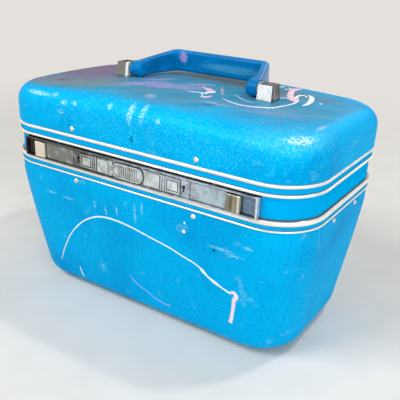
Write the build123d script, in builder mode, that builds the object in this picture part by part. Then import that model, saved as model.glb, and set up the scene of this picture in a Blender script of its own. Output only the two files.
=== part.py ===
from build123d import *
import os
from math import asin, degrees, sqrt

# Hard-sided cosmetic train case, closed, handle folded back.
# Millimetres. X runs along the case, the latches face -Y, +Z is up.
# The origin is on the surface that the feet stand on, under the middle of the case.

# Outline of the closed case, to the crests of the metal beads
CASE_HALF_LENGTH = 175.0
CASE_HALF_DEPTH = 100.5
CASE_CORNER_R = 47.8

# Heights above the surface that the case stands on
FOOT_HEIGHT = 3.0
COLLAR_Z = 128.0
BEAD4_Z = 142.0
BEAD3_Z = 149.0
BEAD2_Z = 173.3
BEAD1_Z = 181.7
LID_TOP_Z = 227.4

# Thickness of each bead and how far things lie inside the bead crests
BEAD4_H = 2.0
BEAD3_H = 5.0
BEAD2_H = 3.0
BEAD1_H = 3.8
BEAD4_IN = 0.5
STRIP_IN = 1.6
BAND_IN = 3.5
BODY_SHELL_IN = 2.0
LID_SHELL_IN = 0.6
SEAM_GAP = 0.4

# Tongue that rises from the body frame inside the lid frame
TONGUE_GAP = 0.4
TONGUE_WALL = 1.0
TONGUE_RISE = 3.6
TONGUE_ROOT = 7.4

# Moulded shells
SHELL_WALL = 2.2
BASE_EDGE_R = 19.0
LEAN_LENGTH = 15.5
LEAN_DEPTH = 19.2
TAPER_CURVE = 1.13
TAPER_STATIONS = 5
LID_EDGE_R = 18.0
CROWN_LENGTH = 6.4
CROWN_DEPTH = 3.4
FIT = 0.05
FLANGE_WALL = 1.3
LID_FLANGE_WALL = 1.5
LID_FLANGE_H = 12.0

# Padded linings
LINING_WALL = 1.4
LINING_GAP = 0.2
LID_LINING_DROP = 4.0
BODY_LINING_FLOOR_GAP = 0.2
BODY_LINING_DROP = 17.0

# Rivets through the shells and frames
RIVET_HEAD_R = 2.6
RIVET_HEAD_H = 1.4
RIVET_SHANK_R = 1.2
LID_RIVET_X = 71.5
LID_RIVET_RISE = 5.4
BODY_RIVET_X = 70.0
BODY_RIVET_DROP = 5.3
END_RIVET_Y = 27.0

# Latch bar
BAR_HALF_LENGTH = 134.0
BAR_TOP_GAP = 0.3
BAR_BOTTOM_GAP = 0.1
BAR_PROUD = 5.5
BAR_RIM_PROUD = 0.8
BAR_RIM_W = 1.3
BAR_CORNER_R = 1.0
BAR_WALL = 1.2
BAR_CAVITY_D = 3.0
POCKET_FLOOR = 1.0
POCKET_IN_X = 68.2
POCKET_OUT_X = 131.4
POCKET_MARGIN = 1.8
BAR_SCREW_X = (10.0, 50.0)
BAR_SCREW_DROP = 2.2
BOSS_R = 2.6

# Latch slides, bolts and hooks
SLIDE_IN_X = 68.8
SLIDE_OUT_X = 118.6
SLIDE_T = 1.3
SLIDE_GAP = 0.1
SLIDE_SIDE_GAP = 0.3
SLIDE_TRAVEL = 10.0
THUMB_W = 13.0
THUMB_PROUD = 3.2
THUMB_EDGE_R = 0.8
GRIP_R = 0.6
GRIP_PITCH = 2.6
GRIP_COUNT = 4
STUD_X = 88.0
STUD_R = 1.6
STUD_DROP = 4.3
SLOT_GAP = 0.2
BOLT_T = 1.4
BOLT_GAP = 0.1
BOLT_H = 5.6
BOLT_OUT_X = 104.0
BOLT_STEM_W = 5.0
NOSE_H = 2.8
HOOK_IN_X = 89.0
HOOK_W = 3.0
HOOK_TOE = 2.5
HOOK_TOE_H = 2.4
HOOK_LENGTH = 10.4
HOOK_T = 1.2
HOOK_CLEAR = 0.4

# Locks behind the keyholes
KEY_X = 62.0
KEY_R = 1.5
KEY_SLOT_W = 1.3
KEY_DROP = 4.6
KEY_RISE = 1.4
PLUG_R = 3.4
PLUG_FIT = 0.05
SOCKET_WALL = 1.1
PLUG_TAB = 2.2
PLUG_TAB_W = 2.4
PLUG_TAB_T = 1.0

# Raised trim in the middle of the bar
TRIM_HALF_LENGTH = 58.6
TRIM_T = 0.5
TRIM_MARGIN = 2.4
PANEL_RAISE = 0.6
SQUARE_X = 30.0
SQUARE_W = 13.0
SQUARE_H = 12.4
FRAMED_X = 50.6
FRAME_LINE = 1.0
DIVIDER_X = (38.4, 41.6)
DIVIDER_W = 0.9
BADGE_HALF_LENGTH = 19.0
BADGE_H = 14.4
BADGE_T = 1.2
BADGE_RIM = 1.4
BADGE_FIELD_D = 0.5
FLUTE_PITCH = 2.6
FLUTE_COUNT = 9
FLUTE_R = 0.7

# Rear hinges
HINGE_X = 92.0
HINGE_W = 44.0
HINGE_KNUCKLE_W = 14.0
HINGE_OUT = 2.5
HINGE_LIFT = 0.2
KNUCKLE_R = 2.5
HINGE_PIN_R = 1.2
HINGE_FIT = 0.05
KNUCKLE_GAP = 0.3
LEAF_T = 1.2
BODY_LEAF_H = 13.5
LEAF_DROP = 4.0
LID_LEAF_H = 8.6
LID_LEAF_LIFT = 3.0
LEAF_CORNER_R = 2.0
HINGE_RIVET_X = 15.0
HINGE_RIVET_R = 1.8
HINGE_RIVET_H = 0.8

# Carrying handle and its posts
PIVOT_RISE = 7.5
POST_X = 85.0
POST_BASE = (16.0, 20.0)
POST_TOP = (14.0, 15.0)
POST_RISE = 13.6
POST_EDGE_R = 0.8
PIN_R = 2.2
PIN_FIT = 0.05
PIN_DEPTH = 6.0
WASHER_R = 6.4
WASHER_T = 1.3
WASHER_GAP = 0.15
BOSS_END_GAP = 0.2
HANDLE_BOSS_R = 7.8
LEG_W = 12.5
LEG_T = 8.3
NECK_Y = 14.0
GRIP_HALF_LENGTH = 58.0
GRIP_FRONT_Y = 46.5
GRIP_DEPTH = 8.5
GRIP_HEIGHT = 23.0
HANDLE_TILT = 6.6
GRIP_CORNER_R = 9.0
GRIP_INNER_R = 6.0
HANDLE_EDGE_R = 3.4
BACKING_W = 22.0
BACKING_D = 16.0
BACKING_T = 1.4
SCREW_R = 2.0
SCREW_HEAD_R = 3.6
SCREW_HEAD_H = 1.2

# Feet, set in from the ends and the sides of the case
FOOT_END_IN = 57.0
FOOT_SIDE_IN = 60.5
FOOT_R = 8.0
FOOT_EDGE_R = 1.0

# Lift-out tray and the ledges it rests on
TRAY_TOP_Z = 161.5
TRAY_H = 40.0
TRAY_IN = 12.5
TRAY_WALL = 2.0
TRAY_EDGE_R = 3.0
TRAY_RIM_W = 1.0
TRAY_RIM_H = 3.0
TRAY_BACK_ROW = 62.0
TRAY_CELL_X = 52.0
TRAY_HOLE_R = 9.0
TRAY_HOLE_DROP = 16.0
REST_LENGTH = 70.0
REST_BITE = 4.0
REST_H = 3.0
TRAY_REST_GAP = 0.1

# Mirror inside the lid
MIRROR_W = 176.0
MIRROR_D = 104.0
MIRROR_R = 10.0
MIRROR_T = 2.5
MIRROR_BORDER = 7.0
MIRROR_DROP = 14.9
MIRROR_LIP_T = 1.2
MIRROR_LIP_W = 3.0

# Places worked out from the sizes above
PIVOT_Z = LID_TOP_Z + PIVOT_RISE
POST_TOP_Z = LID_TOP_Z + POST_RISE
MIRROR_FACE_Z = LID_TOP_Z - MIRROR_DROP
BEAD4_UNDER = BEAD4_Z - BEAD4_H / 2
BEAD3_UNDER = BEAD3_Z - BEAD3_H / 2
BEAD3_OVER = BEAD3_Z + BEAD3_H / 2
BEAD2_UNDER = BEAD2_Z - BEAD2_H / 2
BEAD2_OVER = BEAD2_Z + BEAD2_H / 2
BEAD1_UNDER = BEAD1_Z - BEAD1_H / 2
BEAD1_OVER = BEAD1_Z + BEAD1_H / 2
FRAME_TOP = BEAD2_UNDER - SEAM_GAP
BODY_HALF_LENGTH = CASE_HALF_LENGTH - BODY_SHELL_IN
BODY_HALF_DEPTH = CASE_HALF_DEPTH - BODY_SHELL_IN
BODY_CORNER_R = CASE_CORNER_R - BODY_SHELL_IN
LID_HALF_LENGTH = CASE_HALF_LENGTH - LID_SHELL_IN
LID_HALF_DEPTH = CASE_HALF_DEPTH - LID_SHELL_IN
LID_CORNER_R = CASE_CORNER_R - LID_SHELL_IN
FLANGE_IN = BODY_SHELL_IN + SHELL_WALL + FIT
LID_FLANGE_IN = LID_SHELL_IN + SHELL_WALL + FIT
FRAME_WALL_IN = FLANGE_IN + FLANGE_WALL
TONGUE_IN = FRAME_WALL_IN + TONGUE_GAP
HINGE_Y = CASE_HALF_DEPTH + HINGE_OUT
HINGE_Z = FRAME_TOP + HINGE_LIFT
FOOT_X = CASE_HALF_LENGTH - FOOT_END_IN
FOOT_Y = CASE_HALF_DEPTH - FOOT_SIDE_IN
BAND_Y = CASE_HALF_DEPTH - BAND_IN
BAR_BOTTOM = BEAD3_OVER + BAR_BOTTOM_GAP
BAR_TOP = FRAME_TOP - BAR_TOP_GAP
BAR_MID_Z = (BAR_BOTTOM + BAR_TOP) / 2
BAR_H = BAR_TOP - BAR_BOTTOM
BAR_SCREW_Z = BAR_MID_Z - BAR_SCREW_DROP
POCKET_H = BAR_H - 2 * POCKET_MARGIN
CAVITY_Y = BAND_Y + BAR_CAVITY_D
BAR_FRONT_Y = BAND_Y + BAR_PROUD
POCKET_Y = CAVITY_Y + POCKET_FLOOR
SIDES = {"left": -1, "right": 1}
ENDS = {"front": -1, "rear": 1}


def front_plane(distance, z=0.0):
    """Upright plane facing the front, `distance` in front of the case's middle."""
    return Plane(origin=(0, -distance, z), x_dir=(1, 0, 0), z_dir=(0, -1, 0))


def rear_plane(distance, z=0.0):
    """Upright plane facing the rear, `distance` behind the case's middle."""
    return Plane(origin=(0, distance, z), x_dir=(-1, 0, 0), z_dir=(0, 1, 0))


def end_plane(x, z=0.0):
    """Upright plane facing +X, with its own x axis along +Y."""
    return Plane(origin=(x, 0, z), x_dir=(0, 1, 0), z_dir=(1, 0, 0))


def save(name, part):
    """Label one finished piece and write it under its own name."""
    part.label = name
    export_step(part, f"parts/{name}.step")


# Forms shared by the shells and linings
def lean(z):
    """Share of the body wall's lean that is left at height z."""
    return max(0.0, (COLLAR_Z - z) / (COLLAR_Z - FOOT_HEIGHT)) ** TAPER_CURVE


def body_form(inset, floor_z, top_z):
    """Solid tub, `inset` inside the body shell's outer face."""
    with BuildPart() as form:
        for station in range(TAPER_STATIONS):
            z = floor_z + (COLLAR_Z - floor_z) * station / (TAPER_STATIONS - 1)
            with BuildSketch(Plane.XY.offset(z)):
                RectangleRounded(
                    2 * (BODY_HALF_LENGTH - LEAN_LENGTH * lean(z) - inset),
                    2 * (BODY_HALF_DEPTH - LEAN_DEPTH * lean(z) - inset),
                    BODY_CORNER_R - inset,
                )
        loft()
        fillet(form.faces().sort_by(Axis.Z)[0].edges(), BASE_EDGE_R - inset)
        extrude(form.faces().sort_by(Axis.Z)[-1], amount=top_z - COLLAR_Z)
    return form.part


def dome_form(top_z, inset):
    """Block under a doubly curved crown: a parabola across the depth revolved about a far axis."""
    long_r = (CASE_HALF_LENGTH**2 + CROWN_LENGTH**2) / (2 * CROWN_LENGTH) - inset
    half_width = 1.2 * CASE_HALF_DEPTH
    edge_r = long_r - CROWN_DEPTH * (half_width / CASE_HALF_DEPTH) ** 2
    swing = degrees(asin(1.1 * CASE_HALF_LENGTH / long_r))
    axis_z = top_z - long_r
    start = end_plane(0, axis_z).rotated((0, -swing, 0))
    with BuildPart() as dome:
        with BuildSketch(start):
            with BuildLine():
                Bezier((-half_width, edge_r), (0, 2 * long_r - edge_r), (half_width, edge_r))
                Polyline(
                    (half_width, edge_r),
                    (half_width, long_r - CASE_HALF_DEPTH),
                    (-half_width, long_r - CASE_HALF_DEPTH),
                    (-half_width, edge_r),
                )
            make_face()
        revolve(axis=Axis((0, 0, axis_z), (0, 1, 0)), revolution_arc=2 * swing)
    return dome.part


def lid_form(inset, base_z, drop=0.0):
    """Solid lid, `inset` inside the lid shell's outer face, with its ceiling `drop` lower."""
    dome = dome_form(LID_TOP_Z - inset - drop, inset)
    with BuildPart() as form:
        with BuildSketch(Plane.XY.offset(base_z)):
            RectangleRounded(
                2 * (LID_HALF_LENGTH - inset), 2 * (LID_HALF_DEPTH - inset), LID_CORNER_R - inset
            )
        extrude(amount=LID_TOP_Z - base_z)
        add(dome, mode=Mode.INTERSECT)
        top = form.faces().sort_by(Axis.Z)[-1]
        fillet(top.edges(), LID_EDGE_R - inset)
    return form.part


def plan_prism(inset, base_z, top_z):
    """Upright block with the case's own outline, `inset` inside the bead crests."""
    with BuildPart() as prism:
        with BuildSketch(Plane.XY.offset(base_z)):
            RectangleRounded(
                2 * (CASE_HALF_LENGTH - inset), 2 * (CASE_HALF_DEPTH - inset), CASE_CORNER_R - inset
            )
        extrude(amount=top_z - base_z)
    return prism.part


# Rivets, the same form at every place
def rivet_form(head_r, head_h, shank_r, shank_length):
    """Domed rivet along +Z with the underside of its head at the origin."""
    cap_r = (head_r**2 + head_h**2) / (2 * head_h)
    half = (head_r / 2, sqrt(cap_r**2 - (head_r / 2) ** 2) - cap_r + head_h)
    with BuildPart() as rivet:
        with BuildSketch(Plane.XZ):
            with BuildLine():
                Polyline((0, head_h), (0, -shank_length), (shank_r, -shank_length), (shank_r, 0), (head_r, 0))
                ThreePointArc((head_r, 0), half, (0, head_h))
            make_face()
        revolve(axis=Axis.Z)
    return rivet.part


def body_rivet_places():
    """Front, rear and end rivets under the lowest bead."""
    z = BEAD4_UNDER - BODY_RIVET_DROP
    y = BODY_HALF_DEPTH
    x = BODY_HALF_LENGTH
    front = [front_plane(y, z).offset(FIT) * Location((side * BODY_RIVET_X, 0, 0)) for side in SIDES.values()]
    rear = [rear_plane(y, z).offset(FIT) * Location((side * BODY_RIVET_X, 0, 0)) for side in SIDES.values()]
    right = [end_plane(x, z).offset(FIT) * Location((side * END_RIVET_Y, 0, 0)) for side in SIDES.values()]
    left = [
        Plane(origin=(-x, 0, z), x_dir=(0, -1, 0), z_dir=(-1, 0, 0)).offset(FIT)
        * Location((side * END_RIVET_Y, 0, 0))
        for side in SIDES.values()
    ]
    return front + rear + right + left


def lid_rivet_places():
    """Front and rear rivets over the highest bead."""
    z = BEAD1_OVER + LID_RIVET_RISE
    y = LID_HALF_DEPTH
    front = [front_plane(y, z).offset(FIT) * Location((side * LID_RIVET_X, 0, 0)) for side in SIDES.values()]
    rear = [rear_plane(y, z).offset(FIT) * Location((side * LID_RIVET_X, 0, 0)) for side in SIDES.values()]
    return front + rear


def place_all(form, places):
    """The same form put at every place, as separate solids of one piece."""
    with BuildPart() as placed:
        with Locations(*places):
            add(form)
    return placed.part


def drilled(part, places, radius, depth):
    """The part with a round hole of one radius along every place's axis."""
    with BuildPart() as drill:
        with Locations(*places):
            Cylinder(radius, 2 * depth)
    with BuildPart() as result:
        add(part)
        add(drill.part, mode=Mode.SUBTRACT)
    return result.part


# Body shell: a tapered tub with a wide round bottom edge
def make_body_shell():
    outer = body_form(0, FOOT_HEIGHT, BEAD4_UNDER - FIT)
    inner = body_form(SHELL_WALL, FOOT_HEIGHT + SHELL_WALL, BEAD4_UNDER + SHELL_WALL)
    with BuildPart() as shell:
        add(outer)
        add(inner, mode=Mode.SUBTRACT)
    return drilled(shell.part, body_rivet_places(), RIVET_SHANK_R + FIT, FRAME_WALL_IN)


# Lid shell: upright sides under a crowned top, with a wide round edge
def make_lid_shell():
    outer = lid_form(0, BEAD1_OVER + FIT)
    inner = lid_form(SHELL_WALL, BEAD1_OVER - SHELL_WALL)
    with BuildPart() as shell:
        add(outer)
        add(inner, mode=Mode.SUBTRACT)
        for side in SIDES.values():
            with Locations((side * POST_X, 0, LID_TOP_Z)):
                Cylinder(SCREW_R + FIT, 2 * CASE_HALF_DEPTH, mode=Mode.SUBTRACT)
    return drilled(shell.part, lid_rivet_places(), RIVET_SHANK_R + FIT, FRAME_WALL_IN)


# Metal frames: one section carried round the whole case
def frame_path():
    """Closed line along the bead crests, starting at the middle of the front."""
    straight_x = CASE_HALF_LENGTH - CASE_CORNER_R
    straight_y = CASE_HALF_DEPTH - CASE_CORNER_R
    with BuildLine() as path:
        Line((0, -CASE_HALF_DEPTH), (straight_x, -CASE_HALF_DEPTH))
        CenterArc((straight_x, -straight_y), CASE_CORNER_R, -90, 90)
        Line((CASE_HALF_LENGTH, -straight_y), (CASE_HALF_LENGTH, straight_y))
        CenterArc((straight_x, straight_y), CASE_CORNER_R, 0, 90)
        Line((straight_x, CASE_HALF_DEPTH), (-straight_x, CASE_HALF_DEPTH))
        CenterArc((-straight_x, straight_y), CASE_CORNER_R, 90, 90)
        Line((-CASE_HALF_LENGTH, straight_y), (-CASE_HALF_LENGTH, -straight_y))
        CenterArc((-straight_x, -straight_y), CASE_CORNER_R, 180, 90)
        Line((-straight_x, -CASE_HALF_DEPTH), (0, -CASE_HALF_DEPTH))
    return path.wires()[0]


def section_plane():
    """Plane across the frame at the middle of the front, with its x axis pointing outwards."""
    return Plane(origin=(0, -CASE_HALF_DEPTH, 0), x_dir=(0, -1, 0), z_dir=(-1, 0, 0))


def bead_arc(z, height, crest_in):
    """Round bead that stands out of a strip of the section."""
    ThreePointArc((-STRIP_IN, z - height / 2), (-crest_in, z), (-STRIP_IN, z + height / 2))


def make_body_frame():
    inner = -FRAME_WALL_IN
    tongue_out = -TONGUE_IN
    tongue_inner = tongue_out - TONGUE_WALL
    root_z = FRAME_TOP - TONGUE_ROOT
    with BuildPart() as frame:
        with BuildSketch(section_plane()) as section:
            with BuildLine():
                bead_arc(BEAD4_Z, BEAD4_H, BEAD4_IN)
                Line((-STRIP_IN, BEAD4_Z + BEAD4_H / 2), (-STRIP_IN, BEAD3_UNDER))
                bead_arc(BEAD3_Z, BEAD3_H, 0)
                Polyline(
                    (-STRIP_IN, BEAD3_OVER),
                    (-BAND_IN, BEAD3_OVER),
                    (-BAND_IN, FRAME_TOP),
                    (tongue_out, FRAME_TOP),
                    (tongue_out, FRAME_TOP + TONGUE_RISE),
                    (tongue_inner, FRAME_TOP + TONGUE_RISE),
                    (tongue_inner, root_z),
                    (inner, root_z + tongue_inner - inner),
                    (inner, COLLAR_Z),
                    (-FLANGE_IN, COLLAR_Z),
                    (-FLANGE_IN, BEAD4_UNDER),
                    (-STRIP_IN, BEAD4_UNDER),
                )
            make_face()
        sweep(sections=section.sketch, path=frame_path())
        for x in bar_screw_xs():
            with Locations(front_plane(BAND_Y, BAR_SCREW_Z) * Location((x, 0, 0))):
                Cylinder(SCREW_R / 2 + FIT, 4 * FRAME_WALL_IN, mode=Mode.SUBTRACT)
    drilled_frame = drilled(frame.part, body_rivet_places(), RIVET_SHANK_R + FIT, FRAME_WALL_IN)
    return drilled(drilled_frame, hinge_rivet_places("body"), RIVET_SHANK_R / 2 + FIT, FRAME_WALL_IN)


def make_lid_frame():
    rim_inner = -FRAME_WALL_IN
    flange_inner = -LID_FLANGE_IN - LID_FLANGE_WALL
    flange_top = BEAD1_OVER + LID_FLANGE_H
    with BuildPart() as frame:
        with BuildSketch(section_plane()) as section:
            with BuildLine():
                bead_arc(BEAD2_Z, BEAD2_H, 0)
                Line((-STRIP_IN, BEAD2_OVER), (-STRIP_IN, BEAD1_UNDER))
                bead_arc(BEAD1_Z, BEAD1_H, 0)
                Polyline(
                    (-STRIP_IN, BEAD1_OVER),
                    (-LID_FLANGE_IN, BEAD1_OVER),
                    (-LID_FLANGE_IN, flange_top),
                    (flange_inner, flange_top),
                    (flange_inner, BEAD2_OVER),
                    (rim_inner, BEAD2_OVER),
                    (rim_inner, BEAD2_UNDER),
                    (-STRIP_IN, BEAD2_UNDER),
                )
            make_face()
        sweep(sections=section.sketch, path=frame_path())
    drilled_frame = drilled(frame.part, lid_rivet_places(), RIVET_SHANK_R + FIT, FRAME_WALL_IN)
    return drilled(drilled_frame, hinge_rivet_places("lid"), RIVET_SHANK_R / 2 + FIT, FRAME_WALL_IN)


# Padded linings, stiff boards that follow the shells
def make_body_lining():
    lining_in = FRAME_WALL_IN + LINING_GAP - BODY_SHELL_IN
    floor_z = FOOT_HEIGHT + SHELL_WALL + BODY_LINING_FLOOR_GAP
    top_z = FRAME_TOP - BODY_LINING_DROP
    outer = body_form(lining_in, floor_z, top_z)
    inner = body_form(lining_in + LINING_WALL, floor_z + LINING_WALL, top_z + LINING_WALL)
    with BuildPart() as lining:
        add(outer)
        add(inner, mode=Mode.SUBTRACT)
    return lining.part


def lid_lining_inset():
    """Distance from the lid shell's outer face to the outer face of the lining."""
    return LID_FLANGE_IN + LID_FLANGE_WALL + LINING_GAP - LID_SHELL_IN


def make_lid_lining():
    inset = lid_lining_inset()
    base_z = BEAD2_OVER + LINING_GAP
    outer = lid_form(inset, base_z, LID_LINING_DROP - LINING_WALL)
    inner = lid_form(inset + LINING_WALL, base_z - LINING_WALL, LID_LINING_DROP - LINING_WALL)
    with BuildPart() as lining:
        add(outer)
        add(inner, mode=Mode.SUBTRACT)
    return lining.part


# Latch bar: a shallow chromed channel over the band
def bar_screw_xs():
    """Places of the screws that hold the bar, from left to right."""
    return [side * x for side in SIDES.values() for x in BAR_SCREW_X]


def slot_span():
    """Inner and outer end of the slot that the latch stud runs in."""
    reach = STUD_R + SLOT_GAP
    return STUD_X - reach, STUD_X + SLIDE_TRAVEL + reach


def make_latch_bar():
    band = plan_prism(BAND_IN - FIT, BAR_BOTTOM - BAR_H, BAR_TOP + BAR_H)
    back_y = BAND_Y - BAR_WALL
    slot_in, slot_out = slot_span()
    stud_z = -STUD_DROP
    pocket_mid = (POCKET_IN_X + POCKET_OUT_X) / 2
    with BuildPart() as bar:
        with BuildSketch(front_plane(back_y, BAR_MID_Z)):
            RectangleRounded(2 * BAR_HALF_LENGTH, BAR_H, BAR_CORNER_R)
        extrude(amount=BAR_FRONT_Y - back_y)
        with BuildSketch(front_plane(BAR_FRONT_Y, BAR_MID_Z)):
            RectangleRounded(2 * BAR_HALF_LENGTH, BAR_H, BAR_CORNER_R)
            Rectangle(2 * (BAR_HALF_LENGTH - BAR_RIM_W), BAR_H - 2 * BAR_RIM_W, mode=Mode.SUBTRACT)
        extrude(amount=BAR_RIM_PROUD)
        with BuildSketch(front_plane(back_y, BAR_MID_Z)):
            Rectangle(2 * (BAR_HALF_LENGTH - BAR_WALL), BAR_H - 2 * BAR_WALL)
        extrude(amount=CAVITY_Y - back_y, mode=Mode.SUBTRACT)
        with BuildSketch(front_plane(BAND_Y - FIT, BAR_SCREW_Z)):
            with Locations(*[(x, 0) for x in bar_screw_xs()]):
                Circle(BOSS_R)
        extrude(amount=BAR_CAVITY_D + FIT)
        with BuildSketch(front_plane(socket_back(), BAR_MID_Z)):
            with Locations(*[(side * KEY_X, 0) for side in SIDES.values()]):
                Circle(PLUG_R + PLUG_FIT + SOCKET_WALL)
        extrude(amount=CAVITY_Y + FIT - socket_back())
        with BuildSketch(front_plane(BAR_FRONT_Y, BAR_MID_Z)):
            with Locations(*[(side * pocket_mid, 0) for side in SIDES.values()]):
                Rectangle(POCKET_OUT_X - POCKET_IN_X, POCKET_H)
        extrude(amount=POCKET_Y - BAR_FRONT_Y, mode=Mode.SUBTRACT)
        with BuildSketch(front_plane(back_y, BAR_MID_Z)):
            with Locations(*[(side * (slot_in + slot_out) / 2, stud_z) for side in SIDES.values()]):
                SlotOverall(slot_out - slot_in, 2 * (STUD_R + SLOT_GAP))
            with Locations(*[(side * KEY_X, 0) for side in SIDES.values()]):
                Circle(PLUG_R + PLUG_FIT)
        extrude(amount=POCKET_Y - back_y, mode=Mode.SUBTRACT)
        with BuildSketch(front_plane(back_y, BAR_MID_Z)):
            with Locations(*[(side * KEY_X, KEY_RISE) for side in SIDES.values()]):
                keyhole()
        extrude(amount=BAR_FRONT_Y - back_y, mode=Mode.SUBTRACT)
        with BuildSketch(front_plane(back_y, BAR_SCREW_Z)):
            with Locations(*[(x, 0) for x in bar_screw_xs()]):
                Circle(SCREW_R / 2 + FIT)
        extrude(amount=POCKET_Y - back_y, mode=Mode.SUBTRACT)
        with BuildSketch(Plane.XY.offset(BAR_TOP - 2 * BAR_WALL)):
            hook_mid = HOOK_IN_X + (HOOK_W + HOOK_TOE) / 2
            with Locations(*[(side * hook_mid, -hook_mid_y()) for side in SIDES.values()]):
                Rectangle(HOOK_W + HOOK_TOE + 2 * HOOK_CLEAR, HOOK_T + 2 * HOOK_CLEAR)
        extrude(amount=4 * BAR_WALL, mode=Mode.SUBTRACT)
        add(band, mode=Mode.SUBTRACT)
    return bar.part


def socket_back():
    """Distance in front of the middle at which the lock sockets start, clear of the plug's tab."""
    return BAND_Y + PLUG_TAB_T + 4 * PLUG_FIT


def keyhole():
    """Round head over a narrow slot, drawn in the sketch that is open."""
    Circle(KEY_R)
    with Locations((0, -KEY_DROP / 2)):
        Rectangle(KEY_SLOT_W, KEY_DROP)


def hook_mid_y():
    """Distance in front of the middle at which the hook and the bolt run."""
    return CAVITY_Y - BOLT_GAP - BOLT_T / 2


# Raised trim: squares, dividers and framed squares on one thin plate
def make_bar_trim():
    height = BAR_H - 2 * TRIM_MARGIN
    with BuildPart() as trim:
        with BuildSketch(front_plane(BAR_FRONT_Y, BAR_MID_Z)):
            Rectangle(2 * TRIM_HALF_LENGTH, height)
            Rectangle(2 * BADGE_HALF_LENGTH - BADGE_RIM, height, mode=Mode.SUBTRACT)
        extrude(amount=TRIM_T)
        top_y = BAR_FRONT_Y + TRIM_T
        with BuildSketch(front_plane(top_y, BAR_MID_Z)):
            for side in SIDES.values():
                with Locations((side * SQUARE_X, 0)):
                    Rectangle(SQUARE_W, SQUARE_H)
                with Locations(*[(side * x, 0) for x in DIVIDER_X]):
                    Rectangle(DIVIDER_W, height)
                with Locations((side * FRAMED_X, 0)):
                    Rectangle(SQUARE_W + 2 * FRAME_LINE, SQUARE_H)
                    Rectangle(SQUARE_W, SQUARE_H - 2 * FRAME_LINE, mode=Mode.SUBTRACT)
                    Rectangle(SQUARE_W - 2 * FRAME_LINE, SQUARE_H - 4 * FRAME_LINE)
        extrude(amount=PANEL_RAISE)
    return trim.part


# Plain fluted badge in the middle of the bar
def make_badge():
    corner_r = BADGE_H / 2 - FIT
    with BuildPart() as badge:
        with BuildSketch(front_plane(BAR_FRONT_Y, BAR_MID_Z)):
            RectangleRounded(2 * BADGE_HALF_LENGTH - BADGE_RIM - 2 * FIT, BADGE_H, corner_r)
        extrude(amount=TRIM_T + BADGE_T)
        top_y = BAR_FRONT_Y + TRIM_T + BADGE_T
        with BuildSketch(front_plane(top_y, BAR_MID_Z)):
            RectangleRounded(
                2 * BADGE_HALF_LENGTH - 3 * BADGE_RIM, BADGE_H - 2 * BADGE_RIM, corner_r - BADGE_RIM
            )
        extrude(amount=-BADGE_FIELD_D, mode=Mode.SUBTRACT)
        flute_z = BAR_MID_Z - BADGE_H / 2 + 2 * BADGE_RIM
        with BuildSketch(Plane.XY.offset(flute_z)):
            middle = (FLUTE_COUNT - 1) / 2
            flute_y = BADGE_FIELD_D - top_y
            with Locations(*[((i - middle) * FLUTE_PITCH, flute_y) for i in range(FLUTE_COUNT)]):
                Circle(FLUTE_R)
        extrude(amount=BADGE_H - 4 * BADGE_RIM)
    return badge.part


# Latch slide: flat plate in the bar's pocket with a ribbed thumb block at its outer end
def make_latch_slide(side):
    height = POCKET_H - 2 * SLIDE_SIDE_GAP
    plate_y = POCKET_Y + SLIDE_GAP
    plate_mid = side * (SLIDE_IN_X + SLIDE_OUT_X) / 2
    thumb_mid = side * (SLIDE_OUT_X - THUMB_W / 2)
    front_y = plate_y + SLIDE_T
    with BuildPart() as slide:
        with BuildSketch(front_plane(plate_y, BAR_MID_Z)):
            with Locations((plate_mid, 0)):
                Rectangle(SLIDE_OUT_X - SLIDE_IN_X, height)
        extrude(amount=SLIDE_T)
        with BuildSketch(front_plane(front_y, BAR_MID_Z)):
            with Locations((thumb_mid, 0)):
                Rectangle(THUMB_W, height)
        extrude(amount=THUMB_PROUD)
        fillet(slide.faces().filter_by(Axis.Y).sort_by(Axis.Y)[0].edges(), THUMB_EDGE_R)
        with BuildSketch(Plane.XY.offset(BAR_MID_Z - height)):
            middle = (GRIP_COUNT - 1) / 2
            grip_y = -(front_y + THUMB_PROUD)
            with Locations(*[(thumb_mid + (i - middle) * GRIP_PITCH, grip_y) for i in range(GRIP_COUNT)]):
                Circle(GRIP_R)
        extrude(amount=2 * height, mode=Mode.SUBTRACT)
        with BuildSketch(front_plane(plate_y, BAR_MID_Z)):
            with Locations((side * STUD_X, -STUD_DROP)):
                Circle(STUD_R)
        extrude(amount=-(SLIDE_GAP + POCKET_FLOOR + BOLT_GAP))
    return slide.part


# Latch bolt: flat hooked plate inside the bar, carried by the slide's stud
def make_latch_bolt(side):
    stud_z = BAR_MID_Z - STUD_DROP
    low = stud_z - BOLT_H / 2
    high = stud_z + BOLT_H / 2
    toe_top = BEAD2_UNDER - HOOK_LENGTH + HOOK_TOE_H
    nose_x = HOOK_IN_X + HOOK_W + HOOK_TOE + HOOK_CLEAR
    stem_x = BOLT_OUT_X - BOLT_STEM_W
    outline = [
        (STUD_X - BOLT_H / 2, low),
        (BOLT_OUT_X, low),
        (BOLT_OUT_X, toe_top + HOOK_CLEAR + NOSE_H),
        (nose_x, toe_top + HOOK_CLEAR + NOSE_H),
        (nose_x, toe_top + HOOK_CLEAR),
        (stem_x, toe_top + HOOK_CLEAR),
        (stem_x, high),
        (STUD_X - BOLT_H / 2, high),
    ]
    with BuildPart() as bolt:
        with BuildSketch(front_plane(CAVITY_Y - BOLT_GAP)):
            with BuildLine():
                Polyline(*[(side * x, z) for x, z in outline], close=True)
            make_face()
        extrude(amount=-BOLT_T)
    return bolt.part


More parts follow.
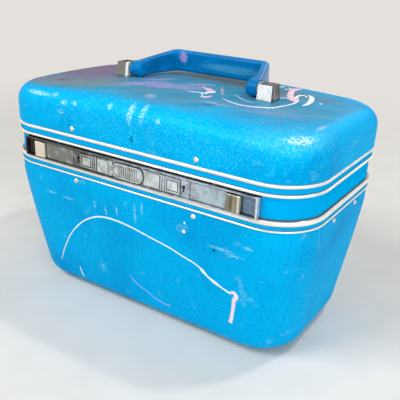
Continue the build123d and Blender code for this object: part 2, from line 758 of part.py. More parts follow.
# Latch hook under the lid frame, reaching down into the bar
def make_latch_hook(side):
    toe_bottom = BEAD2_UNDER - HOOK_LENGTH
    outline = [
        (HOOK_IN_X, BEAD2_UNDER),
        (HOOK_IN_X, toe_bottom),
        (HOOK_IN_X + HOOK_W + HOOK_TOE, toe_bottom),
        (HOOK_IN_X + HOOK_W + HOOK_TOE, toe_bottom + HOOK_TOE_H),
        (HOOK_IN_X + HOOK_W, toe_bottom + HOOK_TOE_H),
        (HOOK_IN_X + HOOK_W, BEAD2_UNDER),
    ]
    with BuildPart() as hook:
        with BuildSketch(front_plane(hook_mid_y() - HOOK_T / 2)):
            with BuildLine():
                Polyline(*[(side * x, z) for x, z in outline], close=True)
            make_face()
        extrude(amount=HOOK_T)
    return hook.part


# Lock plug that turns behind each keyhole
def make_lock_plug(side):
    plug_back = BAND_Y + 2 * PLUG_FIT
    plug_front = POCKET_Y - PLUG_FIT
    with BuildPart() as plug:
        with BuildSketch(front_plane(plug_back, BAR_MID_Z)):
            with Locations((side * KEY_X, 0)):
                Circle(PLUG_R)
        extrude(amount=plug_front - plug_back)
        with BuildSketch(front_plane(plug_back, BAR_MID_Z)):
            with Locations((side * KEY_X, (PLUG_R + PLUG_TAB) / 2)):
                Rectangle(PLUG_TAB_W, PLUG_R + PLUG_TAB)
        extrude(amount=PLUG_TAB_T)
        with BuildSketch(front_plane(plug_back, BAR_MID_Z)):
            with Locations((side * KEY_X, KEY_RISE)):
                keyhole()
        extrude(amount=plug_front - plug_back, mode=Mode.SUBTRACT)
    return plug.part


# Screws that hold the bar, put in from inside the frame
def bar_screws():
    head_y = CASE_HALF_DEPTH - FRAME_WALL_IN
    reach = POCKET_Y - head_y - FIT
    form = rivet_form(RIVET_HEAD_R - FIT, RIVET_HEAD_H, SCREW_R / 2, reach)
    inward = Plane(origin=(0, -head_y + FIT, BAR_SCREW_Z), x_dir=(-1, 0, 0), z_dir=(0, 1, 0))
    return place_all(form, [inward * Location((x, 0, 0)) for x in bar_screw_xs()])


# Rear hinges: two leaves, three knuckles and a pin each
def hinge_rivet_places(leaf):
    """Rivet places on one leaf of both hinges, at the outer face of the leaf."""
    if leaf == "body":
        y, z = BAND_Y + LEAF_T, HINGE_Z - LEAF_DROP - BODY_LEAF_H / 2
    else:
        y, z = CASE_HALF_DEPTH + LEAF_T, (BEAD2_OVER + BEAD1_UNDER) / 2
    xs = [side * HINGE_X + end * HINGE_RIVET_X for side in SIDES.values() for end in ENDS.values()]
    return [rear_plane(y + 2 * FIT, z) * Location((x, 0, 0)) for x in xs]


def make_hinge_rivets():
    body_reach = LEAF_T + FRAME_WALL_IN - BAND_IN
    lid_reach = LEAF_T + LID_FLANGE_IN
    body_rivet = rivet_form(HINGE_RIVET_R, HINGE_RIVET_H, RIVET_SHANK_R / 2, body_reach)
    lid_rivet = rivet_form(HINGE_RIVET_R, HINGE_RIVET_H, RIVET_SHANK_R / 2, lid_reach)
    return place_all(body_rivet, hinge_rivet_places("body")), place_all(lid_rivet, hinge_rivet_places("lid"))


def knuckle_spans(leaf):
    """Start and length along the hinge of each knuckle that one leaf carries."""
    if leaf == "lid":
        return [(-HINGE_KNUCKLE_W / 2 + KNUCKLE_GAP / 2, HINGE_KNUCKLE_W - KNUCKLE_GAP)]
    outer = (HINGE_W - HINGE_KNUCKLE_W) / 2 - KNUCKLE_GAP / 2
    return [(-HINGE_W / 2, outer), (HINGE_KNUCKLE_W / 2 + KNUCKLE_GAP / 2, outer)]


def leaf_strip(leaf):
    """Bent strip from the leaf's plate to its knuckle, seen along the hinge."""
    if leaf == "body":
        plate_y, plate_z = BAND_Y + FIT, HINGE_Z - LEAF_DROP
        return [
            (plate_y, plate_z),
            (plate_y + LEAF_T, plate_z - LEAF_T),
            (HINGE_Y + KNUCKLE_R - LEAF_T / 2, HINGE_Z - LEAF_T),
            (HINGE_Y - LEAF_T, HINGE_Z),
        ]
    plate_y, plate_z = CASE_HALF_DEPTH + FIT, HINGE_Z + LID_LEAF_LIFT
    return [
        (plate_y, plate_z),
        (plate_y + LEAF_T, plate_z + LEAF_T),
        (HINGE_Y + LEAF_T, HINGE_Z + LEAF_T),
        (HINGE_Y - KNUCKLE_R + LEAF_T / 2, HINGE_Z),
    ]


def make_hinge_leaf(leaf, side):
    if leaf == "body":
        plate_y, height = BAND_Y + FIT, BODY_LEAF_H
        plate_z = HINGE_Z - LEAF_DROP - height / 2
    else:
        plate_y, height = CASE_HALF_DEPTH + FIT, LID_LEAF_H
        plate_z = HINGE_Z + LID_LEAF_LIFT + height / 2
    centre_x = side * HINGE_X
    with BuildPart() as made:
        with BuildSketch(rear_plane(plate_y, plate_z)):
            with Locations((-centre_x, 0)):
                RectangleRounded(HINGE_W, height, LEAF_CORNER_R)
        extrude(amount=LEAF_T)
        for start, length in knuckle_spans(leaf):
            with BuildSketch(end_plane(centre_x + start)):
                with BuildLine():
                    Polyline(*leaf_strip(leaf), close=True)
                make_face()
                with Locations((HINGE_Y, HINGE_Z)):
                    Circle(KNUCKLE_R)
                    Circle(HINGE_PIN_R + HINGE_FIT, mode=Mode.SUBTRACT)
            extrude(amount=length)
    return drilled(made.part, hinge_rivet_places(leaf), RIVET_SHANK_R / 2 + FIT, LEAF_T + FIT)


def make_hinge_pin(side):
    with BuildPart() as pin:
        with BuildSketch(end_plane(side * HINGE_X - HINGE_W / 2)):
            with Locations((HINGE_Y, HINGE_Z)):
                Circle(HINGE_PIN_R)
        extrude(amount=HINGE_W)
    return pin.part


# Carrying handle: posts, pins, washers and the moulded grip
def make_handle_post(side):
    under = dome_form(LID_TOP_Z + FIT, 0)
    base_z = LID_TOP_Z - CROWN_LENGTH
    with BuildPart() as post:
        with BuildSketch(Plane.XY.offset(base_z)):
            with Locations((side * POST_X, 0)):
                Rectangle(*POST_BASE)
        with BuildSketch(Plane.XY.offset(POST_TOP_Z)):
            with Locations((side * POST_X, 0)):
                Rectangle(*POST_TOP)
        loft()
        fillet(post.faces().sort_by(Axis.Z)[-1].edges(), POST_EDGE_R)
        add(under, mode=Mode.SUBTRACT)
        with Locations((side * POST_X, 0, base_z)):
            Cylinder(SCREW_R + FIT, 2 * (screw_top() - base_z + FIT), mode=Mode.SUBTRACT)
        with BuildSketch(end_plane(side * pin_span()[0])):
            with Locations((0, PIVOT_Z)):
                Circle(PIN_R + PIN_FIT)
        extrude(amount=side * (pin_span()[1] - pin_span()[0]), mode=Mode.SUBTRACT)
    return post.part


def screw_top():
    """Height that each handle screw reaches inside its post."""
    return PIVOT_Z - PIN_R - SCREW_R


def pin_span():
    """Inner and outer end of the handle pins, as distances from the middle."""
    return washer_outer() - WASHER_T - BOSS_END_GAP - LEG_W, POST_X


def washer_outer():
    """Outer face of the washers, just inside the posts."""
    return POST_X - POST_BASE[0] / 2 - WASHER_GAP


def make_handle_pin(side):
    inner, outer = pin_span()
    start = inner + LEG_W - PIN_DEPTH
    with BuildPart() as pin:
        with BuildSketch(end_plane(side * start)):
            with Locations((0, PIVOT_Z)):
                Circle(PIN_R)
        extrude(amount=side * (outer - FIT - start))
    return pin.part


def make_handle_washer(side):
    with BuildPart() as washer:
        with BuildSketch(end_plane(side * (washer_outer() - WASHER_T))):
            with Locations((0, PIVOT_Z)):
                Circle(WASHER_R)
                Circle(PIN_R + PIN_FIT, mode=Mode.SUBTRACT)
        extrude(amount=side * WASHER_T)
    return washer.part


def handle_plan():
    """Corners of the handle seen from above, from the right boss round the outside and back inside."""
    boss_out = washer_outer() - WASHER_T - BOSS_END_GAP
    boss_in = boss_out - LEG_W
    bend_y = HANDLE_BOSS_R / 2
    back_y = GRIP_FRONT_Y + GRIP_DEPTH
    slant = (boss_out - GRIP_HALF_LENGTH) / (back_y - bend_y)
    neck_in = boss_out - slant * (NECK_Y - bend_y) - LEG_T
    grip_in = boss_out - slant * (GRIP_FRONT_Y - bend_y) - LEG_T
    return [
        (boss_in, -HANDLE_BOSS_R),
        (boss_out, -HANDLE_BOSS_R),
        (boss_out, bend_y),
        (GRIP_HALF_LENGTH, back_y),
        (-GRIP_HALF_LENGTH, back_y),
        (-boss_out, bend_y),
        (-boss_out, -HANDLE_BOSS_R),
        (-boss_in, -HANDLE_BOSS_R),
        (-boss_in, bend_y),
        (-neck_in, NECK_Y),
        (-grip_in, GRIP_FRONT_Y),
        (grip_in, GRIP_FRONT_Y),
        (neck_in, NECK_Y),
        (boss_in, bend_y),
    ]


def handle_side():
    """Side view of the handle: a round boss that widens into the grip."""
    back_y = GRIP_FRONT_Y + GRIP_DEPTH
    half = GRIP_HEIGHT / 2
    with BuildSketch(end_plane(0)) as view:
        Circle(HANDLE_BOSS_R)
        with BuildLine():
            Polyline(
                (0, HANDLE_BOSS_R),
                (GRIP_FRONT_Y, half),
                (back_y, half),
                (back_y, -half),
                (GRIP_FRONT_Y, -half),
                (0, -HANDLE_BOSS_R),
                close=True,
            )
        make_face()
    return view.sketch


def make_handle():
    side_view = handle_side()
    with BuildPart() as flat:
        with BuildSketch(Plane.XY.offset(-GRIP_HEIGHT)):
            with BuildLine():
                Polyline(*handle_plan(), close=True)
            make_face()
        extrude(amount=2 * GRIP_HEIGHT)
        fillet(flat.edges().filter_by(Axis.Z).group_by(Axis.Y)[-2], GRIP_INNER_R)
        fillet(flat.edges().filter_by(Axis.Z).group_by(Axis.Y)[-1], GRIP_CORNER_R)
        extrude(side_view, amount=CASE_HALF_LENGTH, both=True, mode=Mode.INTERSECT)
        grip_edges = [e for e in flat.edges() if e.center().Y > HANDLE_BOSS_R / 2]
        long_edges = [e for e in grip_edges if e.length > HANDLE_EDGE_R]
        fillet([e for e in long_edges if abs(e.tangent_at(0.5).Z) < 0.5], HANDLE_EDGE_R)
        inner, outer = pin_span()
        for side in SIDES.values():
            start = inner + LEG_W - PIN_DEPTH - BOSS_END_GAP
            with BuildSketch(end_plane(side * start)):
                Circle(PIN_R + PIN_FIT)
            extrude(amount=side * (outer - start), mode=Mode.SUBTRACT)
    return flat.part.rotate(Axis.X, HANDLE_TILT).moved(Location((0, 0, PIVOT_Z)))


# Plates and screws that hold the posts, between the lid shell and its lining
def backing_seat():
    """Height of the lid shell's ceiling over the outer edge of the backing plates."""
    edge_x = POST_X + BACKING_W / 2
    sag_x = CROWN_LENGTH * (edge_x / CASE_HALF_LENGTH) ** 2
    sag_y = CROWN_DEPTH * (BACKING_D / 2 / CASE_HALF_DEPTH) ** 2
    return LID_TOP_Z - SHELL_WALL - sag_x - sag_y - FIT


def make_handle_backing(side):
    with BuildPart() as plate:
        with BuildSketch(Plane.XY.offset(backing_seat())):
            with Locations((side * POST_X, 0)):
                Rectangle(BACKING_W, BACKING_D)
                Circle(SCREW_R + FIT, mode=Mode.SUBTRACT)
        extrude(amount=-BACKING_T)
    return plate.part


def make_handle_screw(side):
    head_z = backing_seat() - BACKING_T - FIT
    with BuildPart() as screw:
        with BuildSketch(Plane.XY.offset(head_z)):
            with Locations((side * POST_X, 0)):
                Circle(SCREW_R)
        extrude(amount=screw_top() - head_z)
        with BuildSketch(Plane.XY.offset(head_z)):
            with Locations((side * POST_X, 0)):
                Circle(SCREW_HEAD_R)
        extrude(amount=-SCREW_HEAD_H)
    return screw.part


# Low round feet
def make_foot(x, y):
    with BuildPart() as foot:
        with BuildSketch(Plane.XY):
            with Locations((x, y)):
                Circle(FOOT_R)
        extrude(amount=FOOT_HEIGHT)
        fillet(foot.faces().sort_by(Axis.Z)[0].edges(), FOOT_EDGE_R)
    return foot.part


# Lift-out tray with walls between its compartments, and the ledges under its ends
def tray_half(inset):
    """Half length and half depth of the tray, `inset` inside its outer face."""
    return CASE_HALF_LENGTH - TRAY_IN - inset, CASE_HALF_DEPTH - TRAY_IN - inset


def make_tray():
    base_z = TRAY_TOP_Z - TRAY_H
    length, depth = tray_half(TRAY_RIM_W)
    inner_length, inner_depth = tray_half(TRAY_RIM_W + TRAY_WALL)
    corner_r = CASE_CORNER_R - TRAY_IN - TRAY_RIM_W
    split_y = inner_depth - TRAY_BACK_ROW
    with BuildPart() as tray:
        with BuildSketch(Plane.XY.offset(base_z)):
            RectangleRounded(2 * length, 2 * depth, corner_r)
        extrude(amount=TRAY_H)
        fillet(tray.faces().sort_by(Axis.Z)[0].edges(), TRAY_EDGE_R)
        with BuildSketch(Plane.XY.offset(TRAY_TOP_Z - TRAY_RIM_H)):
            RectangleRounded(2 * (length + TRAY_RIM_W), 2 * (depth + TRAY_RIM_W), corner_r + TRAY_RIM_W)
        extrude(amount=TRAY_RIM_H)
        with BuildSketch(Plane.XY.offset(base_z + TRAY_WALL)):
            RectangleRounded(2 * inner_length, 2 * inner_depth, corner_r - TRAY_WALL)
            with Locations((0, split_y)):
                Rectangle(2 * inner_length, TRAY_WALL, mode=Mode.SUBTRACT)
            with Locations(*[(side * TRAY_CELL_X, (split_y + inner_depth) / 2) for side in SIDES.values()]):
                Rectangle(TRAY_WALL, TRAY_BACK_ROW, mode=Mode.SUBTRACT)
        extrude(amount=TRAY_H, mode=Mode.SUBTRACT)
        with BuildSketch(end_plane(0, TRAY_TOP_Z - TRAY_HOLE_DROP)):
            SlotOverall(4 * TRAY_HOLE_R, 2 * TRAY_HOLE_R)
        extrude(amount=CASE_HALF_LENGTH, both=True, mode=Mode.SUBTRACT)
    return tray.part


def make_tray_rest(side):
    lining_in = FRAME_WALL_IN + LINING_GAP - BODY_SHELL_IN + LINING_WALL + FIT
    floor_z = FOOT_HEIGHT + SHELL_WALL + LINING_WALL + BODY_LINING_FLOOR_GAP
    space = body_form(lining_in, floor_z, TRAY_TOP_Z)
    top_z = TRAY_TOP_Z - TRAY_H - TRAY_REST_GAP
    wall_x = BODY_HALF_LENGTH - lining_in
    reach_x = tray_half(TRAY_RIM_W + TRAY_EDGE_R + REST_BITE)[0]
    with BuildPart() as rest:
        with BuildSketch(Plane.XY.offset(top_z - REST_H)):
            with Locations((side * wall_x, 0)):
                Rectangle(2 * (wall_x - reach_x), REST_LENGTH)
        extrude(amount=REST_H)
        add(space, mode=Mode.INTERSECT)
    return rest.part


# Mirror in its frame, on the ceiling of the lid lining
def make_mirror_frame():
    inset = lid_lining_inset() + LINING_WALL
    ceiling = lid_form(inset, BEAD2_OVER, LID_LINING_DROP - LINING_WALL + FIT)
    pane_w = MIRROR_W - 2 * MIRROR_BORDER + 2 * FIT
    pane_d = MIRROR_D - 2 * MIRROR_BORDER + 2 * FIT
    with BuildPart() as frame:
        with BuildSketch(Plane.XY.offset(MIRROR_FACE_Z - MIRROR_LIP_T)):
            RectangleRounded(MIRROR_W, MIRROR_D, MIRROR_R)
        extrude(amount=LID_TOP_Z - MIRROR_FACE_Z)
        add(ceiling, mode=Mode.INTERSECT)
        with BuildSketch(Plane.XY.offset(MIRROR_FACE_Z)):
            Rectangle(pane_w, pane_d)
        extrude(amount=MIRROR_T + FIT, mode=Mode.SUBTRACT)
        with BuildSketch(Plane.XY.offset(MIRROR_FACE_Z - MIRROR_LIP_T)):
            Rectangle(pane_w - 2 * MIRROR_LIP_W, pane_d - 2 * MIRROR_LIP_W)
        extrude(amount=MIRROR_LIP_T, mode=Mode.SUBTRACT)
    return frame.part


def make_mirror():
    with BuildPart() as mirror:
        with BuildSketch(Plane.XY.offset(MIRROR_FACE_Z + FIT / 2)):
            Rectangle(MIRROR_W - 2 * MIRROR_BORDER, MIRROR_D - 2 * MIRROR_BORDER)
        extrude(amount=MIRROR_T)
    return mirror.part


def main():
    os.makedirs("parts", exist_ok=True)
    save("body_shell", make_body_shell())
    save("body_frame", make_body_frame())
    save("body_lining", make_body_lining())
    save("lid_shell", make_lid_shell())
    save("lid_frame", make_lid_frame())
    save("lid_lining", make_lid_lining())
    body_reach = FLANGE_IN + FLANGE_WALL - BODY_SHELL_IN
    lid_reach = LID_FLANGE_IN + LID_FLANGE_WALL - LID_SHELL_IN
    body_rivet = rivet_form(RIVET_HEAD_R, RIVET_HEAD_H, RIVET_SHANK_R, body_reach)
    lid_rivet = rivet_form(RIVET_HEAD_R, RIVET_HEAD_H, RIVET_SHANK_R, lid_reach)
    save("body_rivets", place_all(body_rivet, body_rivet_places()))
    save("lid_rivets", place_all(lid_rivet, lid_rivet_places()))
    save("latch_bar", make_latch_bar())
    save("latch_bar_trim", make_bar_trim())
    save("latch_bar_badge", make_badge())
    save("latch_bar_screws", bar_screws())
    body_hinge_rivets, lid_hinge_rivets = make_hinge_rivets()
    save("hinge_body_rivets", body_hinge_rivets)
    save("hinge_lid_rivets", lid_hinge_rivets)
    for name, side in SIDES.items():
        save(f"{name}_latch_slide", make_latch_slide(side))
        save(f"{name}_latch_bolt", make_latch_bolt(side))
        save(f"{name}_latch_hook", make_latch_hook(side))
        save(f"{name}_lock_plug", make_lock_plug(side))
        save(f"{name}_hinge_body_leaf", make_hinge_leaf("body", side))
        save(f"{name}_hinge_lid_leaf", make_hinge_leaf("lid", side))
        save(f"{name}_hinge_pin", make_hinge_pin(side))
        save(f"{name}_handle_post", make_handle_post(side))
        save(f"{name}_handle_pin", make_handle_pin(side))
        save(f"{name}_handle_washer", make_handle_washer(side))
        save(f"{name}_handle_backing", make_handle_backing(side))
        save(f"{name}_handle_screw", make_handle_screw(side))
        save(f"{name}_tray_rest", make_tray_rest(side))
        for end, towards in ENDS.items():
            save(f"{name}_{end}_foot", make_foot(side * FOOT_X, towards * FOOT_Y))
    save("handle", make_handle())
    save("tray", make_tray())
    save("mirror_frame", make_mirror_frame())
    save("mirror", make_mirror())


main()
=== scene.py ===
"""Looks of a hard-sided cosmetic train case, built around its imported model."""

import math
from functools import partial

import bpy
from mathutils import Matrix, Vector


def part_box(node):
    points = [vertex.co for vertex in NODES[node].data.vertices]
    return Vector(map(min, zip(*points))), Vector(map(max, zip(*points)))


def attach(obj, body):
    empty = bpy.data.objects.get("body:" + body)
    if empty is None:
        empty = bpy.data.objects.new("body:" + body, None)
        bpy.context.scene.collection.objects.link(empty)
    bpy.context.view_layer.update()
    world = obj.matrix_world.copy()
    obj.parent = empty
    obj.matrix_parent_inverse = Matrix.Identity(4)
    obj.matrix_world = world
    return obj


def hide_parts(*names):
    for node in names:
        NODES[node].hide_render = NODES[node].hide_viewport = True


bl_info = {
    "name": "Cosmetic train case",
    "version": (1, 0, 0),
    "blender": (4, 5, 0),
    "location": "3D View > Sidebar > Train case",
    "description": "Finishes, linings and paint marks of a hard-sided cosmetic train case",
    "category": "Object",
}

MM = 0.001


def metres(millimetres):
    """Lengths in millimetres as metres."""
    return tuple(length * MM for length in millimetres)


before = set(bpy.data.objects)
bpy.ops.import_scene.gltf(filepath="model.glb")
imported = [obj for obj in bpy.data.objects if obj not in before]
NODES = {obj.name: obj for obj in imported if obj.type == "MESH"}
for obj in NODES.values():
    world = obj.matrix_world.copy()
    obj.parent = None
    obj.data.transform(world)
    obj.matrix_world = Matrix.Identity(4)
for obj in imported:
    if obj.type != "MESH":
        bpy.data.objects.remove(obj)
SIDES = ("left", "right")

# The rounded outline that the bead crests of both frames follow
CREST_LOW, CREST_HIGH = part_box("lid_frame")
HALF_LENGTH = CREST_HIGH.x
HALF_DEPTH = -CREST_LOW.y
CORNER_R = 47.8 * MM

# Heights of the lid's top and of the latch bar's middle
LID_TOP_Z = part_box("lid_shell")[1].z
BAR_Z = sum(corner.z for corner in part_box("latch_bar")) / 2

# How soft the edges of the painted strips are
STRIP_BLUR = 0.15 * MM

# The painted strips let into the two frames, in mm: lower and upper edge
PAINTED_STRIPS = ((143.0, 146.5), (151.5, 171.3), (174.8, 179.8))

# Distances in from the bead crests, in mm: where the strips start and are whole, where they are still
# whole and end, and where the grime and painted shade beside them start and are full
STRIP_START = (0.8, 1.1)
STRIP_END = (4.2, 4.4)
GRIME_AND_SHADE_START = (0.7, 1.3)

# Which way the lid's top was wiped, about the vertical
STREAK_TURN = math.radians(38)

# Small dark nicks on the body's front and the lid's front, in mm: x and z
BODY_NICK = (91.8, 108.3)
LID_NICK = (1.9, 192.8)

# How far a mark on a front reaches in from it
MARK_REACH = 30 * MM

# Rubbed places on the body's front, in mm: x, z, half width and half height
BODY_SCUFFS = (
    (-108, 114, 6, 1.2), (-84, 113, 7, 1.2), (-47, 116, 1.6, 3.4), (-33, 113, 1.4, 4), (-19, 117, 1.2, 5),
    (99, 112, 12, 1.2), (112, 109, 8, 1.4), (126, 121, 4, 1.5), (4, 120, 1.2, 9), (13, 127, 1.2, 6))

# Rubbed places on the lid, and the long row along its left front edge, which is a painted sheen, in mm: x, y,
# z, half width and half height
LID_SCUFFS_AND_SHEEN = (
    (-1.5, -96, 216, 3.0, 9), (12, -94, 218, 2.6, 9), (-26, -96, 218, 2.4, 2.4), (-82, -98.4, 213, 4, 1.8),
    (-69, -98, 214, 3, 1.8), (-119, -95, 216.2, 15, 1.7), (-97, -94.7, 217.8, 3, 1.8),
    (-85, -100, 204, 3, 2), (30, -97, 214, 2, 2), (158, -45.5, 221.4, 2.4, 0.8))

# Painted highlights at the lid's right front corner, drawn as pebbles polished white, in mm: centre and radii
CORNER_HIGHLIGHT = ((154, -83, 216.3), (38, 34, 6.5))
CORNER_HIGHLIGHT_CORE = ((156.5, -80, 217.6), (11, 11, 2.2))

# Heights from the lid's top between which its dusty film fades in, in mm
FILM_EDGE = (-3.0, 0.1)

# That film ends lower down beyond these x, in mm: x, the way outwards, and the slope
FILM_FALLS = ((-50, -1.0, 0.055), (70, 1.0, 0.036))

# Stains on top of the lid, in mm: centre, radii and turn, then the name of the colour and its opacity
LID_STAINS = (
    ((-105, -50), (52, 24), 12, "lid_film_grey", 0.85),
    ((45, 66), (125, 34), 0, "lid_film_brown", 0.75),
    ((-142, 52), (70, 104), 0, "lid_film_mauve", 1.0),
    ((-42, -26), (27, 8), 48, "lilac", 0.9),
    ((-14, -18), (22, 10), 40, "lilac", 0.9),
    ((-42, 1), (18, 4), 50, "lilac", 0.8),
    ((8, -12), (18, 7), 42, "lilac", 0.8),
    ((-3, -66), (5, 9), 42, "lid_haze", 0.8),
    ((48, -48), (10, 2), 32, "lilac", 0.5),
    ((70, -12), (24, 10), 32, "lid_film_blue", 0.8),
    ((55, -57), (5, 2.4), 0, "lid_spot", 0.75),
    ((-125, -58), (4, 3), 0, "lid_spot", 1.0),
    ((97, -10), (5, 3), 0, "lid_spot", 0.6),
    ((104, -38), (34, 12), 12, "lilac", 0.35))

# A stain longer than this, in mm, is an even film and not streaks
BROAD_STAIN = 50

# Worn and stained places of plated pieces and the handle, and some painted highlights, in mm: centre and
# radii, then opacity and colour.
# Heights on the latch bar and its slides are measured from the bar's middle.
BAR_WEAR = (
    ((124.5, -102, 0), (9, 4, 12), 0.8, "#5C7898"),
    ((133.5, -102.5, 0), (1.6, 4, 16), 0.9, "#F4F8FA"),
    ((-128, -102, 0), (8, 4, 12), 0.8, "#3A2E2A"))
SLIDE_WEAR_AND_HIGHLIGHT = (
    ((-112, -105.6, 0), (11, 4, 18), 0.95, "#EFE6D6"),
    ((112, -105.6, 0), (11, 4, 18), 0.9, "#877E66"),
    ((110.5, -105.6, 0), (1.6, 4, 7), 0.7, "#5E5648"),
    ((113.5, -105.6, -3), (1.2, 4, 8), 0.6, "#B5A98A"),
    # A painted highlight along the right slide's right edge
    ((117.8, -105.6, 0), (1.4, 4, 18), 0.8, "#E8E2D0"))
HANDLE_STAINS_AND_SHEEN = (
    # A painted highlight band along the grip
    ((22, 46.5, 239.2), (36, 9, 3.6), 0.6, "#4FA6C4"),
    ((-43.5, 45, 244.8), (4.4, 12, 5.2), 0.85, "lilac"))

# Where the recessed faces of the latch bar and its trim start and end, in mm along y
BAR_RECESS = (-102.1, -101.5)
TRIM_RECESS = (-103.45, -103.15)

# Dried paints: the material's name, its colour and the colour that swirls in it
PAINTS = {
    "white": ("dried_white_enamel", "white_paint", "#E2E8F6"),
    "pink": ("dried_pink_enamel", "pink_paint", "rose_paint"),
    "rose": ("dried_rose_enamel", "rose_paint", "#F2C6DE"),
    "deep_rose": ("dried_deep_rose_enamel", "#B872AE", "#A684BE"),
    "lilac_white": ("dried_lilac_enamel", "#DCD2EE", "#F2EEF8"),
    "pale_pink": ("dried_pale_pink_enamel", "#F6E2E6", "#EED2DA"),
    "faint": ("thin_lilac_enamel", "#7FA6CE", "#94A8D0"),
    "faint_pink": ("thin_pink_enamel", "#A68EB4", "#8FB0C0"),
    "lavender": ("dried_lavender_enamel", "lavender_paint", "#6FA0E8"),
}

# Strokes of paint on the body's front, in mm: name and paint, then x, z and width at each place
FRONT_STROKES = (
    ("paint_arch", "white", (
        (-111.8, 27.4, 0.7), (-105, 42, 1.3), (-96.2, 57.2, 1.3), (-88, 69.5, 1.3), (-78.3, 80.4, 1.4),
        (-68.5, 89.4, 1.6), (-57.6, 96.7, 1.7), (-42.8, 103, 1.9), (-24.1, 105.1, 1.9), (-3.3, 103.4, 1.7),
        (19.5, 99.1, 1.5), (41.5, 95, 1.5), (57.2, 90.4, 1.5), (75.3, 84.6, 1.6), (79.4, 81.2, 3.8),
        (84.7, 76.9, 1.7), (91.4, 73.5, 3.8), (99.5, 70.2, 1.6), (108.5, 67.2, 2.2))),
    ("paint_drip", "pale_pink", (
        (108, 68.4, 2), (112.2, 69, 4.2), (114.2, 65.5, 4.6), (112.2, 62, 4.2), (111.2, 55, 3.8),
        (110, 47, 3.5), (108.6, 38.5, 3.8), (107.2, 33.2, 4.2))),
    ("paint_scratch", "lavender", (
        (-11.2, 43, 0.8), (-6.9, 38.1, 1.3), (0.5, 34, 1.2), (8.7, 30.6, 1.2), (17, 26.8, 1.3),
        (24.2, 24.4, 1.4), (31, 23.2, 1.6), (37.6, 23.5, 2.4))),
    ("paint_dot", "white", ((58.9, 119, 2.4), (59.9, 117.8, 3.8), (60.4, 116.4, 3))),
    ("paint_speck", "white", ((61.2, 128.4, 1.2), (61.3, 126.2, 1.8))),
    ("paint_tick", "white", ((-84, 27.5, 1), (-82.4, 21, 1.6), (-80.6, 15.5, 1.2))),
)

# Strokes of paint on top of the lid, in mm: name and paint, then x, y and width at each place
LID_STROKES = (
    ("paint_loop", "lilac_white", (
        (51.1, -27.5, 0.4), (57.7, -31.3, 0.8), (67.8, -35.8, 1.2), (78.8, -36.8, 1.2), (86.8, -34.7, 1.2),
        (94.4, -30, 1.6), (101, -25.3, 2), (104.9, -14.9, 1.8), (108, -2.5, 1.8), (108.4, 12.1, 2),
        (105.6, 23.8, 2.4))),
    ("paint_loop_low", "faint", ((47.8, -50, 0.8), (53.7, -49.2, 1.8), (62.6, -49.9, 2), (69.6, -47.7, 0.8))),
    ("paint_inner_arc", "faint", ((54.6, -7.4, 1.6), (63.3, -15, 2.6), (73.6, -20, 2.6), (81.8, -21.6, 1.6))),
    ("paint_blot", "pink", (
        (83.2, 78.9, 4), (80.6, 68.6, 7), (85, 52.3, 6), (93.8, 31.2, 7), (102.1, 19, 9), (107.9, 14.4, 5))),
    ("paint_blot_wide", "rose", ((73, 71, 2), (79.2, 66.4, 6), (86, 63.7, 3))),
    ("paint_branch", "lilac_white", (
        (90.8, 13.9, 1.4), (94.2, 20.2, 2.2), (99.2, 18.4, 2.6), (102.1, 19, 3.6))),
    ("paint_ring", "white", ((102.5, 26.1, 3.6), (98, 40.8, 3), (101.1, 47.1, 2.4), (106.5, 42.2, 1.6))),
    ("paint_ring_end", "white", (
        (103.9, 53.1, 2), (108.2, 48.9, 5), (113.9, 35.5, 5.6), (117.6, 21.2, 4.4), (118.6, 10.8, 3.4),
        (118.2, 4.6, 1.2))),
    ("paint_dash", "white", ((64.7, 63, 1.6), (66.9, 73, 3.4))),
    ("paint_fleck", "white", ((74.4, 58.4, 1.6), (77.1, 61, 2))),
    ("paint_drop", "white", ((126.4, 25.8, 1.6), (127.5, 28.5, 2.2))),
    ("paint_wedge", "pink", ((13.9, -1.7, 1.6), (21.5, -5.3, 7), (28.8, -10.4, 9), (34.6, -12.9, 2))),
    ("paint_wedge_low", "white", ((30.5, -24.8, 1.6), (30, -17.5, 6), (34.7, -13.4, 1.6))),
    ("paint_hair", "lilac_white", ((10.1, -27, 0.5), (17.7, -26.2, 0.9), (24.1, -23.7, 1.2), (31, -23.8, 2))),
    ("paint_fall", "white", ((26.7, -24.1, 1.6), (31.3, -30.7, 1.2), (35.4, -36.2, 1.6))),
    ("paint_low_blot", "rose", ((32.8, -36.1, 1.6), (37.5, -35.4, 5), (40.1, -28.7, 1.6))),
    ("paint_rose_spot", "deep_rose", ((7.5, -3.5, 4), (12.4, 3.3, 4))),
    ("paint_hair_rear", "faint", ((-11.7, 4.8, 0.8), (-0.2, 2.8, 1.6), (6.4, 10, 1.5), (19.3, 13.3, 0.8))),
    ("paint_blur", "faint_pink", ((27.2, 12, 2), (36.3, -2.5, 4), (44.3, -15, 2.6))),
)


def linear(colour):
    """Linear RGBA of an sRGB colour written in hex."""
    def channel(share):
        return share / 12.92 if share <= 0.04045 else ((share + 0.055) / 1.055) ** 2.4
    digits = colour.lstrip("#")
    return (*(channel(int(digits[at:at + 2], 16) / 255) for at in (0, 2, 4)), 1.0)


def shade_of(colours, name):
    """A colour of the case by its name, or one written in hex."""
    return linear(name) if name.startswith("#") else tuple(getattr(colours, name))


def colour_property(name, description, colour):
    """A colour that a user may change, with its default in hex."""
    return bpy.props.FloatVectorProperty(
        name=name, description=description, default=linear(colour), size=4, min=0.0, max=1.0, subtype="COLOR")


def length_property(name, description, millimetres):
    """A length that a user may change, with its default in millimetres."""
    return bpy.props.FloatProperty(
        name=name, description=description, default=millimetres * MM, min=0.0, unit="LENGTH")


